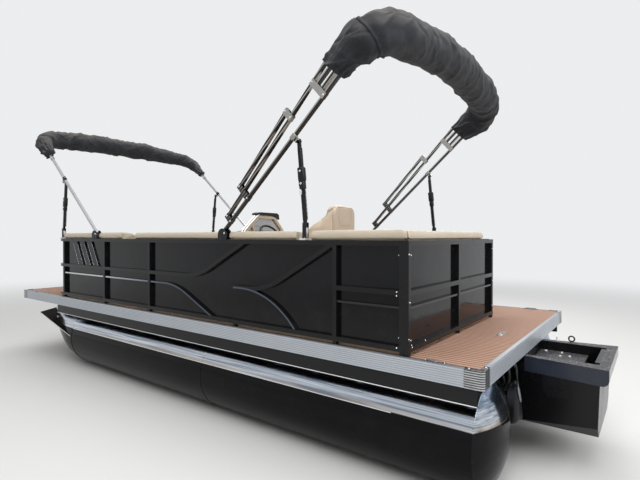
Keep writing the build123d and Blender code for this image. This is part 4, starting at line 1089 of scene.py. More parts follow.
def smoothed(points, parts=9):
    """A flowing line through the points."""
    p = [Vector(point) for point in points]
    p = [2 * p[0] - p[1]] + p + [2 * p[-1] - p[-2]]
    line = []
    for a, b, c, d in zip(p, p[1:], p[2:], p[3:]):
        for step in range(parts):
            t = step / parts
            line.append(0.5 * (2 * b + (c - a) * t + (2 * a - 5 * b + 4 * c - d) * t * t
                               + (3 * b - a - 3 * c + d) * t * t * t))
    return line + [p[-2]]


def pan_head():
    """A low round screw head with its recess, one wide."""
    return lathe("pan_head", [(0.0, 0.14), (0.12, 0.14), (0.15, 0.30), (0.30, 0.29), (0.44, 0.20),
                              (0.5, 0.06), (0.5, -0.02)], 14)


def hex_head():
    """A hexagon bolt head on its washer, one wide."""
    nut = lathe("hex", [(0.0, 0.42), (0.34, 0.42), (0.39, 0.36), (0.39, 0.05)], 6)
    washer = lathe("washer", [(0.36, 0.07), (0.48, 0.07), (0.5, 0.04), (0.5, -0.02)], 18)
    return joined("hex_head", [nut, washer])


# Cushions

SOFT = (
    # node, body, kind
    ("seat_cushion_port", "hull", "seat"),
    ("seat_cushion_port_bow", "hull", "seat"),
    ("seat_cushion_stern", "hull", "seat"),
    ("seat_cushion_starboard_bow", "hull", "seat"),
    ("back_cushion_port", "hull", "back"),
    ("back_cushion_port_bow", "hull", "back"),
    ("back_cushion_stern", "hull", "stern"),
    ("back_cushion_starboard_bow", "hull", "back"),
    ("chair_cushion", "captain_chair", "chair"),
)
SIM_FRAMES = 20
PRESSURE = 4.0
INSET = 0.005
FOOT_BAND = 0.020
FENCE_BAND = 0.014
SHELL_BAND = 0.045
CHANNEL_PITCH = 0.720
CHANNEL_DEPTH = 0.011
CHANNEL_WIDTH = 0.012
FAR = 9.0
SEAT_WELT_DROP = 0.024
CHAIR_WELT_SIDE = 0.165


def held_points(points, kind):
    """Which points of a cushion rest on its board or against the fence."""
    x, y, z = points.T
    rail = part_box("fence_port_frame")[1][2]
    foot = z < z.min() + FOOT_BAND
    if kind == "back":
        return foot | ((np.abs(y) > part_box("fence_port_panels")[0][1] - FENCE_BAND) & (z < rail))
    if kind == "stern":
        return foot | ((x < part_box("fence_stern_panels")[1][0] + FENCE_BAND) & (z < rail))
    if kind == "chair":
        return foot | (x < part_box("chair_shell")[0][0] + SHELL_BAND)
    return foot


def soft_form(node):
    """A closed form a little inside a soft solid, its corners eased."""
    thing = working(NODES[node].data.copy())
    remesh = thing.modifiers.new("remesh", "REMESH")
    remesh.mode = "VOXEL"
    remesh.voxel_size = sizes().voxel
    ease = thing.modifiers.new("ease", "SMOOTH")
    ease.factor = 0.5
    ease.iterations = 3
    draw_in = thing.modifiers.new("draw_in", "DISPLACE")
    draw_in.strength = -INSET
    draw_in.mid_level = 0
    return baked(thing, node + "_form")


def add_cloth(thing, held):
    """Pressurised cover, pinned where the cushion rests."""
    pins = thing.vertex_groups.new(name="held")
    pins.add([int(i) for i in np.flatnonzero(held)], 1.0, "REPLACE")
    cloth = thing.modifiers.new("cloth", "CLOTH")
    cloth.point_cache.frame_start = 1
    cloth.point_cache.frame_end = SIM_FRAMES
    given = cloth.settings
    given.quality = 4
    given.mass = 0.3
    given.tension_stiffness = 12
    given.compression_stiffness = 12
    given.shear_stiffness = 4
    given.bending_stiffness = 0.4
    given.use_pressure = True
    given.uniform_pressure_force = PRESSURE
    given.vertex_group_mass = "held"
    given.effector_weights.gravity = 0


def simulate(things):
    """Steps the covers together and gives their settled meshes."""
    scene = bpy.context.scene
    starts = [coordinates(thing.data) for thing in things]
    for frame_number in range(1, SIM_FRAMES + 1):
        scene.frame_set(frame_number)
        bpy.context.view_layer.update()
    meshes = []
    for thing, start, (_, _, kind) in zip(things, starts, SOFT):
        limit = sizes().swell if kind in ("seat", "chair") else sizes().back_swell
        mesh = baked(thing, thing.name)
        move = coordinates(mesh) - start
        far = np.linalg.norm(move, axis=1, keepdims=True)
        set_coordinates(mesh, start + move * np.minimum(1.0, limit / np.maximum(far, 1e-9)))
        meshes.append(mesh)
    scene.frame_set(1)
    return meshes


def subdivided(mesh):
    thing = working(mesh)
    thing.modifiers.new("smooth", "SUBSURF").levels = 1
    return baked(thing, mesh.name)


def puckered(mesh, kind, boxes, held):
    """Sewn channels across a seat's long way, and faint creases all over."""
    points = coordinates(mesh)
    out = normals(mesh)
    sink = np.zeros(len(points))
    near = np.full(len(points), FAR)
    for low, high in boxes if kind == "seat" else ():
        inside = (points[:, 0] > low[0]) & (points[:, 0] < high[0])
        along = 1 if high[1] - low[1] > high[0] - low[0] else 0
        span = high[along] - low[along]
        parts = max(1, round(span / CHANNEL_PITCH))
        for i in range(1, parts):
            gap = np.abs(points[:, along] - low[along] - i * span / parts)
            gap[~inside] = FAR
            sink += CHANNEL_DEPTH * np.exp(-(gap / CHANNEL_WIDTH) ** 2)
            near = np.minimum(near, gap)
    crease = np.array([noise.noise(Vector(p) * 9.0) for p in points])
    fine = np.array([noise.noise(Vector((p[0] * 34, p[1] * 34, p[2] * 12))) for p in points])
    pucker = 0.0022 * np.exp(-near / 0.045) * fine
    sink[held] = 0
    move = 0.0016 * crease + 0.0007 * fine + pucker - sink
    set_coordinates(mesh, points + out * move[:, None])
    return mesh


def welts(mesh, kind, boxes):
    """Piping paths of a cushion, where planes near its edges cut it."""
    cuts = []
    if kind == "seat":
        cuts.append(((0, 0, boxes[0][1][2] - SEAT_WELT_DROP), (0, 0, 1)))
    elif kind == "chair":
        low, high = boxes[0]
        middle = (low + high) / 2
        cuts.append(((low[0] + 0.20, 0, high[2] - 0.10), (0.35, 0, 1)))
        for side in (1, -1):
            cuts.append(((0, middle[1] + side * CHAIR_WELT_SIDE, 0), (0, 1, 0)))
    return [slice_path(mesh, spot, way) for spot, way in cuts]


CHAIR_Y = -0.610
CHAIR_AFT = -0.692
CHAIR_TOP = 1.905
CHAIR_ARM_TOP = 1.500
BACK_PANEL_FORE = -0.645
BACK_PANEL_FOOT = 1.300
U_SEAM = (
    # across the boat from the chair's middle, level
    (-0.120, 1.865), (-0.125, 1.760), (-0.105, 1.700), (-0.050, 1.682),
    (0.050, 1.682), (0.105, 1.700), (0.125, 1.760), (0.120, 1.865),
)


def chair_shaped(points):
    """Draws the chair's back in towards its rounded top, and slopes its wings down forward."""
    x, y, z = points.T
    rise = np.clip((z - CHAIR_ARM_TOP) / (CHAIR_TOP - CHAIR_ARM_TOP), 0, 1)
    back = np.clip((-0.40 - x) / 0.12, 0, 1)
    across = y - CHAIR_Y
    y = CHAIR_Y + across * (1 - 0.16 * back * rise ** 1.5)
    z = z - 0.045 * back * rise * np.clip(np.abs(across) / 0.22, 0, 1.2) ** 3
    wing = np.clip((np.abs(across) - 0.14) / 0.03, 0, 1) * np.clip((z - 1.40) / 0.15, 0, 1)
    z = z - 0.055 * wing * np.clip((x + 0.60) / 0.30, 0, 1)
    return np.stack([x, y, z], axis=1)


def chair_back():
    """The upholstered panel over the shell's back, with its U-shaped seam."""
    turns = np.linspace(0.1, math.pi / 2, 7)
    outline = [(-0.203, BACK_PANEL_FOOT), (0.203, BACK_PANEL_FOOT), (0.203, 1.795)]
    outline += [(0.123 + 0.080 * math.cos(t), 1.800 + 0.085 * math.sin(t)) for t in turns]
    outline += [(-a, b) for a, b in reversed(outline[2:])]
    panel = prism("panel", [(CHAIR_Y + a, b) for a, b in outline], 0, CHAIR_AFT, BACK_PANEL_FORE, 0.012)
    seam = path_mesh(smoothed([(CHAIR_AFT, CHAIR_Y + a, b) for a, b in U_SEAM]))
    foot = BACK_PANEL_FOOT + 0.010
    rim = path_mesh([(CHAIR_AFT + 0.004, CHAIR_Y + 0.96 * a, max(foot, b)) for a, b in outline], True)
    return [wearing(panel, "light_vinyl"), bead("seam", seam, 0.0028, "piping", 0.01),
            bead("rim", rim, 0.0035, "piping", 0.012)]


class BOAT_OT_cushions(bpy.types.Operator):
    """Blow up, sew and pipe every cushion"""
    bl_idname = "boat.cushions"
    bl_label = "Cushions"

    def execute(self, context):
        things = []
        for node, _, kind in SOFT:
            thing = working(soft_form(node))
            add_cloth(thing, held_points(coordinates(thing.data), kind))
            things.append(thing)
        for (node, body, kind), mesh in zip(SOFT, simulate(things)):
            mesh = subdivided(mesh)
            boxes = solid_boxes(node)
            mesh = puckered(mesh, kind, boxes, held_points(coordinates(mesh), kind))
            if kind == "chair":
                set_coordinates(mesh, chair_shaped(coordinates(mesh)))
            mesh.name = node + "_cover"
            mesh.polygons.foreach_set("use_smooth", [True] * len(mesh.polygons))
            cover = place(node + "_cover", mesh, body, "light_vinyl" if kind == "chair" else "vinyl")
            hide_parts(node)
            lines = [bead("welt", path, sizes().piping / 2, "piping", 0.012)
                     for path in welts(mesh, kind, boxes)]
            if kind == "chair":
                lines += chair_back()
            if lines:
                place(node + "_piping", joined(node + "_piping", lines), body)
        return {"FINISHED"}


# Boots of the folded tops

ARM_Y = 1.174
ARM_LENGTH = 1.530
PIVOT_Z = 1.605
HOOP_SHOULDER = 1.690
HOOP_RADIUS = 0.250
HOOP_TURN = math.radians(80)
HOOP_STEP = 0.011
REAR_LEAN = 42
FRONT_LEAN = 40
TOPS = (
    # name, pivot x, lean in degrees, forward or aft, shift of the brace's foot
    ("rear", -0.700, REAR_LEAN, -1, -0.060),
    ("front", 1.400, FRONT_LEAN, 1, 0.060),
)
BOOTS = {
    # half width, half height, seed, rise at the ends, (share of the length, fullness) pairs
    "rear": (0.140, 0.165, 3.1, 0.17,
             ((0, 0.58), (0.03, 0.66), (0.11, 0.96), (0.5, 1.0), (0.93, 0.93), (1, 0.6))),
    "front": (0.110, 0.120, 8.4, 0.0,
              ((0, 0.42), (0.03, 0.62), (0.09, 0.86), (0.3, 1.0), (0.75, 0.96), (0.92, 0.7), (1, 0.36))),
}
STRAPS = (0.10, 0.80)
STRAP_WIDTH = 0.024
STRAP_SIDES = 64
BOOT_SIDES = 96


def top_axes(lean, sign):
    """Unit vectors along a folded top's arms and square to its plane."""
    angle = math.radians(lean)
    along = Vector((sign * math.cos(angle), 0, math.sin(angle)))
    return along, Vector((-along.z * sign, 0, along.x * sign))


def hoop_line():
    """Points of a hoop's wrapped part: place along the arms, and across the boat."""
    step, r, side = HOOP_STEP, HOOP_RADIUS, ARM_Y
    crown_r = r + (side - r) / math.cos(HOOP_TURN)
    knee = HOOP_SHOULDER + r * math.sin(HOOP_TURN)
    line = [(s, side) for s in np.arange(ARM_LENGTH, HOOP_SHOULDER, step)]
    for angle in np.arange(0, HOOP_TURN, step / r):
        line.append((HOOP_SHOULDER + r * math.sin(angle), side - r + r * math.cos(angle)))
    centre = knee - crown_r * math.sin(HOOP_TURN)
    y_centre = side - r + r * math.cos(HOOP_TURN) - crown_r * math.cos(HOOP_TURN)
    for angle in np.arange(HOOP_TURN, math.pi / 2 + 1e-6, step / crown_r):
        line.append((centre + crown_r * math.sin(angle), y_centre + crown_r * math.cos(angle)))
    other = [(s, -y) for s, y in reversed(line) if y > 1e-4]
    return np.array(line + other)


def ridge(value, sharpness):
    """A row of sharp crests."""
    return (1 - abs(math.sin(value))) ** sharpness


def canvas_swell(t, length, around, seed):
    """How far the canvas stands out: bulges, diagonal folds, pleats and gathers."""
    p = Vector((t, math.cos(around) * 0.16 + seed, math.sin(around) * 0.16))
    swell = 0.018 * noise.noise(p * 3.3) + 0.007 * noise.noise(p * 9.0)
    bend = 2.2 * noise.noise(p * 3.7)
    for height, crests, sharpness, patch in (
            (0.019, t * 9.5 + around * 1.5 + bend, 2.5, p * 2.3 + Vector((4, 0, 0))),
            (0.011, t * 17 - around * 1.1 + 1.4 * bend, 3, p * 2.9 + Vector((0, 7, 0))),
            (-0.009, t * 13 + around * 2.1 - bend, 4, p * 4.1 + Vector((0, 0, 9)))):
        swell += height * ridge(crests, sharpness) * (0.5 + noise.noise(patch))
    hang = math.exp(-((math.cos(around) - 0.7) / 0.5) ** 2)
    swell += 0.0045 * hang * math.sin(t * 62 + 5 * noise.noise(p * 5.0))
    end = min(t, length - t)
    swell += 0.010 * math.exp(-end / 0.10) * math.cos(around * 9 + 4 * noise.noise(p * 6))
    return swell


def boot_stations(lean, sign, pivot_x):
    """Centre, tangent and outward direction along the hoop, with the way gone."""
    along, up = top_axes(lean, sign)
    origin = Vector((pivot_x, 0, PIVOT_Z))
    line = hoop_line()
    centres = [origin + along * s + Vector((0, y, 0)) for s, y in line]
    gone = [0.0]
    for a, b in zip(centres, centres[1:]):
        gone.append(gone[-1] + (b - a).length)
    rows = []
    for i, centre in enumerate(centres):
        ahead = centres[min(i + 1, len(centres) - 1)] - centres[max(i - 1, 0)]
        tangent = ahead.normalized()
        rows.append((centre, tangent, tangent.cross(up).normalized() * -sign, up, gone[i]))
    return rows


def boot_point(row, length, around, shape, lift=0.0):
    """A point of the canvas at one station and angle."""
    centre, _, out, up, t = row
    half_width, half_height, seed, rise, full = shape
    shares, amounts = zip(*full)
    gather = float(np.interp(t / length, shares, amounts))
    sag = 0.010 * math.sin(math.pi * t / length)
    swell = canvas_swell(t, length, around, seed)
    for share in STRAPS:
        swell -= 0.012 * math.exp(-((t - share * length) / 0.028) ** 2)
    a = half_width * gather + swell + lift
    b = half_height * gather + swell + lift
    centre = centre + up * rise * (1 - gather) - Vector((0, 0, sag))
    return centre + out * (a * math.cos(around)) + up * (b * math.sin(around))


def boot_mesh(name, rows, shape):
    """The canvas tube with its own UV map, one metre to a unit."""
    sides = BOOT_SIDES
    length = rows[-1][4]
    points = []
    for row in rows:
        for i in range(sides):
            points.append(boot_point(row, length, 2 * math.pi * i / sides, shape))
    faces = []
    for j in range(len(rows) - 1):
        faces += band(j, j + 1, sides)
    last = (len(rows) - 1) * sides
    faces.append(tuple(range(sides - 1, -1, -1)))
    faces.append(tuple(range(last, last + sides)))
    mesh = mesh_of(name, points, (), faces)
    around = math.pi * (shape[0] + shape[1])
    layer = mesh.uv_layers.new(name="UVMap")
    for face in mesh.polygons:
        for corner in face.loop_indices:
            index = mesh.loops[corner].vertex_index
            j, i = divmod(index, sides)
            turn = i / sides
            if len(face.vertices) == 4 and turn == 0 and max(v % sides for v in face.vertices) == sides - 1:
                turn = 1.0
            layer.data[corner].uv = (rows[j][4], turn * around)
    return outward(mesh)


def strap_mesh(name, rows, share, shape):
    """A web strap round the boot."""
    sides = STRAP_SIDES
    length = rows[-1][4]
    here = min(range(len(rows)), key=lambda i: abs(rows[i][4] - share * length))
    tangent = rows[here][1]
    points = []
    for side in (-0.5, 0.5):
        for lift in (0.001, 0.0045):
            for i in range(sides):
                turn = 2 * math.pi * i / sides
                p = boot_point(rows[here], length, turn, shape, lift)
                points.append(p + tangent * side * STRAP_WIDTH)
    faces = []
    order = (0, 1, 3, 2)
    for a, b in zip(order, order[1:] + order[:1]):
        faces += band(a, b, sides)
    return outward(mesh_of(name, points, (), faces))


class BOAT_OT_boots(bpy.types.Operator):
    """Fold the canvas boots and strap them"""
    bl_idname = "boat.boots"
    bl_label = "Boots"

    def execute(self, context):
        for name, pivot_x, lean, sign, _ in TOPS:
            shape = BOOTS[name]
            rows = boot_stations(lean, sign, pivot_x)
            body = f"{name}_bimini"
            piece = f"{name}_boot_canvas"
            cover = place(piece, boot_mesh(piece, rows, shape), body, "canvas")
            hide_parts(f"{name}_bimini_boot")
            straps = [strap_mesh("strap", rows, share, shape) for share in STRAPS]
            place(f"{name}_boot_straps", joined(f"{name}_boot_straps", straps), body, "webbing")
        return {"FINISHED"}


# Tubes

TUBE_Y = 0.820
TUBE_R = 0.343
SEAMS = (-2.716, -0.364, 2.040)
GUARD_TIP = Vector((3.0816, 0.820, 0.588))
GUARD_WING = Vector((2.8464, 1.190, 0.573))
GUARD_ROOT = Vector((2.062, 1.164, 0.361))
GUARD_THICKNESS = 0.005
RISER_HALF_TURN = math.radians(12)
GUARD_BOLTS = ((2.695, 1.041, 0.5136), (2.425, 1.094, 0.4486))


def seam_path(x, y):
    """A ring round a tube, open under its riser."""
    lowest = sizes().weld / 2 + 0.0005
    points = []
    for turn in np.linspace(RISER_HALF_TURN, 2 * math.pi - RISER_HALF_TURN, 140):
        points.append((x, y + TUBE_R * math.sin(turn), max(lowest, TUBE_R + TUBE_R * math.cos(turn))))
    return path_mesh(points)


def both_sides(mesh):
    """A mesh with its mirror image across the centreline."""
    other = mesh.copy()
    other.transform(Matrix.Diagonal((1, -1, 1, 1)))
    other.flip_normals()
    return [mesh, other]


class BOAT_OT_tubes(bpy.types.Operator):
    """Weld the tubes' seams and bolt on the spray guards"""
    bl_idname = "boat.tubes"
    bl_label = "Tubes"

    def execute(self, context):
        beads = []
        for x in SEAMS:
            for y in (TUBE_Y, -TUBE_Y):
                beads.append(bead("seam", seam_path(x, y), sizes().weld / 2, "tube", 0.006, 0.2))
        place("tube_welds", joined("tube_welds", beads), "hull")
        way = (GUARD_WING - GUARD_TIP).cross(GUARD_ROOT - GUARD_TIP).normalized()
        lift = way * GUARD_THICKNESS
        spots = [(Vector(spot) + lift, way) for spot in GUARD_BOLTS]
        bolts = heads("bolts", hex_head(), spots, 0.026, "stainless")
        edge = path_mesh([GUARD_TIP + lift, GUARD_WING + lift, GUARD_ROOT + lift])
        lip = bead("lip", edge, 0.0045, "bright", 0.02)
        place("guard_fittings", joined("guard_fittings", both_sides(bolts) + both_sides(lip)), "hull")
        return {"FINISHED"}


# Fence

FENCE_OUT = 1.190
FENCE_STERN = -2.350
PORT_END = -2.270
STARBOARD_END = -2.072
STERN_WIDTH = 1.678
STERN_CORNER = 1.100
BOLTS = (
    # place from the outer face, level
    (0.0, 1.198),
    (0.0, 1.222),
    (0.032, 1.444),
    (0.032, 0.938),
    (0.0, 0.882),
)
STERN_BOLTS = (
    # across the boat, level
    (1.186, 1.451),
    (1.160, 1.445),
    (1.174, 1.162),
    (1.186, 0.943),
    (1.161, 0.933),
    (1.149, 0.903),
    (1.142, 0.888),
    (0.949, 0.895),
)
SLAT_X = 1.920
SLAT_PITCH = 0.173
SLAT_LEAN = 0.150
SLAT_HALF = 0.0485
SLAT_LEVELS = (1.236, 1.498)
SLAT_Y = 1.172
SCREW_LEVELS = (0.876, 1.217, 1.517)
PANEL_SCREWS = (
    # fore and aft places of a bay's screws on the port fence's inner face
    2.16, 1.70, 1.24, 1.20, 0.80, 0.40, 0.34, -0.36, -1.06, -1.78, -1.83, -2.05, -2.27,
)


class BOAT_OT_fence(bpy.types.Operator):
    """Bolt the fence's corners, screw on its panels and line its slats"""
    bl_idname = "boat.fence"
    bl_label = "Fence fittings"

    def execute(self, context):
        spots = []
        for inset, level in BOLTS:
            spots.append(((PORT_END, FENCE_OUT - inset, level), (0, 1, 0)))
            spots.append(((STARBOARD_END, inset - FENCE_OUT, level), (0, -1, 0)))
        for y, level in STERN_BOLTS:
            spots.append(((FENCE_STERN, y, level), (-1, 0, 0)))
            if y > STERN_CORNER:
                spots.append(((FENCE_STERN, y - STERN_WIDTH, level), (-1, 0, 0)))
        bolts = heads("bolts", pan_head(), spots, sizes().bolt, "stainless")
        screws = []
        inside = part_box("fence_port_panels")[0][1]
        for x in PANEL_SCREWS:
            for level in SCREW_LEVELS:
                screws.append(((x, inside, level), (0, -1, 0)))
                if x > STARBOARD_END:
                    screws.append(((x, -inside, level), (0, 1, 0)))
        rivets = heads("rivets", pan_head(), screws, 0.011, "stainless")
        lines = []
        foot, top = SLAT_LEVELS
        for index in range(3):
            for edge in (-SLAT_HALF, SLAT_HALF):
                x = SLAT_X - index * SLAT_PITCH + edge
                line = path_mesh([(x - SLAT_LEAN, SLAT_Y, foot), (x, SLAT_Y, top)])
                lines += both_sides(bead("line", line, 0.0022, "edge", 0.05))
        place("fence_bolts", joined("fence_bolts", [bolts, rivets] + lines), "hull")
        return {"FINISHED"}


# Deck fittings

TRIM_TOP = 0.838
CLEATS = (
    # place, turned across the boat
    ((-2.513, 1.190, TRIM_TOP), False),
    ((-2.528, -1.190, TRIM_TOP), False),
    ((2.950, 1.190, TRIM_TOP), False),
    ((2.950, -1.190, TRIM_TOP), False),
    ((-2.612, 0.180, 0.8352), True),
)
TRIM_SCREW_LEVEL = 0.841
CORNER_LEG = 0.085
DECK_ENDS = (
    # deck's end, forward or aft
    (3.300, 1),
    (-2.800, -1),
)
HOSES = (
    # radius, points of the line
    (0.016, ((-2.30, 0.36, 0.728), (-2.55, 0.37, 0.715), (-2.70, 0.40, 0.66), (-2.72, 0.43, 0.56),
             (-2.66, 0.45, 0.50), (-2.58, 0.42, 0.56), (-2.54, 0.38, 0.66), (-2.40, 0.37, 0.722))),
    (0.012, ((-2.28, 0.42, 0.726), (-2.52, 0.43, 0.712), (-2.66, 0.45, 0.64), (-2.70, 0.46, 0.57),
             (-2.62, 0.44, 0.535), (-2.52, 0.42, 0.60), (-2.36, 0.41, 0.718))),
    (0.009, ((-2.30, 0.33, 0.728), (-2.60, 0.335, 0.712), (-2.74, 0.35, 0.68), (-2.76, 0.35, 0.60))),
)
BAG = (-2.785, 0.535, 0.480)


def cleat():
    """A flush pull-up cleat: its oval plate, the bar folded into it and two screws."""
    plate = rounded_box("plate", (-0.066, -0.019, -0.001), (0.066, 0.019, 0.004), 0.0024, 3)
    bar = rounded_box("bar", (-0.046, -0.006, 0.002), (0.046, 0.006, 0.0105), 0.004, 3)
    stem = rounded_box("stem", (-0.014, -0.0085, 0.002), (0.014, 0.0085, 0.0085), 0.003, 2)
    parts = [wearing(mesh, "pewter") for mesh in (plate, bar, stem)]
    spots = [((x, 0, 0.004), (0, 0, 1)) for x in (-0.057, 0.057)]
    return joined("cleat", parts + [heads("screws", pan_head(), spots, 0.009, "stainless")])


class BOAT_OT_deck(bpy.types.Operator):
    """Fit the cleats, the corner screws, the hoses and the bag"""
    bl_idname = "boat.deck"
    bl_label = "Deck fittings"

    def execute(self, context):
        fitted = []
        for spot, across in CLEATS:
            mesh = cleat()
            turn = Matrix.Rotation(math.radians(90 if across else 0), 4, "Z")
            mesh.transform(Matrix.Translation(spot) @ turn)
            fitted.append(mesh)
        place("deck_cleats", joined("deck_cleats", fitted), "hull")
        spots = []
        for end, sign in DECK_ENDS:
            for side in (1, -1):
                spots.append(((end - sign * CORNER_LEG, side * 1.2055, TRIM_SCREW_LEVEL), (0, 0, 1)))
                spots.append(((end - sign * 0.0155, side * 1.1355, TRIM_SCREW_LEVEL), (0, 0, 1)))
        place("trim_screws", heads("trim_screws", pan_head(), spots, 0.010, "stainless"), "hull")
        hoses = [bead("hose", path_mesh(smoothed(line)), radius, "plastic", 0.012)
                 for radius, line in HOSES]
        place("stern_hoses", joined("stern_hoses", hoses + soft_bag()), "hull")
        return {"FINISHED"}


def soft_bag():
    """The slack bag tied under the deck, with the loops of its drawstring."""
    mesh = rounded_box("bag", (-0.040, -0.055, -0.130), (0.040, 0.055, 0.125), 0.034, 5)
    mesh = subdivided(subdivided(mesh))
    points = coordinates(mesh)
    out = normals(mesh)
    folds = np.array([noise.noise(Vector((p[0] * 17, p[1] * 17 + 3, p[2] * 6))) for p in points])
    neck = 1 - 0.5 * np.clip((points[:, 2] - 0.02) / 0.11, 0, 1) ** 2
    points[:, :2] *= neck[:, None]
    set_coordinates(mesh, points + out * folds[:, None] * 0.020 + np.array(BAG))
    mesh.polygons.foreach_set("use_smooth", [True] * len(mesh.polygons))
    x, y, z = BAG
    lines = (
        ((x, y + 0.01, 0.735), (x - 0.02, y + 0.03, 0.69), (x - 0.04, y + 0.035, z + 0.06),
         (x - 0.045, y + 0.01, z + 0.01), (x - 0.03, y, z + 0.09)),
        ((x, y - 0.02, 0.735), (x - 0.03, y + 0.06, 0.70), (x - 0.04, y + 0.085, z + 0.13),
         (x - 0.02, y + 0.04, z + 0.12)),
    )
    loops = [bead("loop", path_mesh(smoothed(line)), 0.0055, look, 0.01)
             for line, look in zip(lines, ("edge", "plastic"))]
    return [wearing(mesh, "plastic")] + loops


# Motor pod

STEP_TOP = 0.6662
BOARD_FORE = -3.2085
EYE_RADIUS = 0.020
EYE_PLACE = (-3.000, -0.330, 0.760)


class BOAT_OT_pod(bpy.types.Operator):
    """Bolts, light and eye of the motor pod"""
    bl_idname = "boat.pod"
    bl_label = "Pod fittings"

    def execute(self, context):
        places = [(-2.955, -0.105), (-3.015, -0.130)]
        places += [(x, y) for x in (-2.95, -2.84) for y in (-0.215, 0.215)]
        spots = [((x, y, STEP_TOP), (0, 0, 1)) for x, y in places]
        white = heads("step_bolts", hex_head(), spots, 0.020, "enamel")
        spots = [((BOARD_FORE, y, 0.600), (1, 0, 0)) for y in (-0.190, -0.060, 0.060, 0.190)]
        board = heads("board_bolts", hex_head(), spots, 0.022, "stainless")
        light = lathe("light", [(0.0, 0.034), (0.008, 0.033), (0.012, 0.028), (0.013, 0.010), (0.016, 0.007),
                                (0.016, 0.0)], 24, Matrix.Translation((-2.905, -0.325, 0.7352)))
        x, y, z = EYE_PLACE
        ring = path_mesh([(x + EYE_RADIUS * math.cos(t), y, z + EYE_RADIUS * math.sin(t))
                          for t in np.linspace(0, 2 * math.pi, 40, endpoint=False)], True)
        eye = bead("eye", ring, 0.0055, "plastic", 0.006)
        parts = [white, board, wearing(light, "enamel"), eye]
        place("pod_fittings", joined("pod_fittings", parts), "hull")
        return {"FINISHED"}


# Helm

DASH_LOW = Vector((0.670, 0, 1.595))
DASH_HIGH = Vector((0.760, 0, 1.635))
GAUGES = (
    # across the boat, diameter
    (-0.500, 0.056),
    (-0.592, 0.078),
    (-0.700, 0.078),
    (-0.792, 0.056),
    (-0.872, 0.056),
)
CONSOLE_KNEE = Vector((0.560, 0, 1.395))
SWITCH_Y = -0.452
THROTTLE_Y = -1.020
COWL = (
    # across the boat, height over the console's top
    (-1.028, -0.055), (-1.020, 0.012), (-0.985, 0.034), (-0.660, 0.036),
    (-0.610, 0.024), (-0.590, 0.001), (-0.640, -0.004), (-0.900, -0.010),
)
COWL_DEPTH = (0.690, 0.800)
ARCH_EDGES = (
    # points of the screen arch's inner and outer bright lines
    ((0.6985, -0.380, 1.590), (0.6985, -0.380, 1.635), (0.6985, -0.600, 1.826), (0.6985, -0.640, 1.843)),
    ((0.735, -0.372, 1.590), (0.735, -0.372, 1.638), (0.735, -0.592, 1.832)),
)
TICKS = 11
TICK_TURN = 26
FIRST_TICK = -130
NEEDLE_TURN = 118


def onto(place_at, way):
    """Carries a turned form from upright at the origin to a place and direction."""
    return Matrix.Translation(place_at) @ Vector(way).to_track_quat("Z", "Y").to_matrix().to_4x4()


def gauge(diameter, where):
    """A dial in its chrome ring, with ticks and a needle."""
    r = diameter / 2
    profile = [(r * 0.84, 0.002), (r * 0.86, 0.007), (r * 0.93, 0.009), (r, 0.005), (r, -0.002)]
    ring = lathe("ring", profile, 32)
    face = lathe("face", [(0.0, 0.003), (r * 0.86, 0.003), (r * 0.86, -0.002)], 32)
    marks = []
    for step in range(TICKS):
        mark = rounded_box("mark", (-0.0007, r * 0.60, 0.0030), (0.0007, r * 0.78, 0.0038), 0.0002, 1)
        mark.transform(Matrix.Rotation(math.radians(FIRST_TICK + TICK_TURN * step), 4, "Z"))
        marks.append(wearing(mark, "enamel"))
    needle = rounded_box("needle", (-0.0008, -r * 0.12, 0.0038), (0.0008, r * 0.62, 0.0048), 0.0003, 1)
    needle.transform(Matrix.Rotation(math.radians(NEEDLE_TURN), 4, "Z"))
    parts = [wearing(ring, "chrome"), wearing(face, "plastic"), wearing(needle, "enamel")]
    whole = joined("gauge", parts + marks)
    whole.transform(where)
    return whole


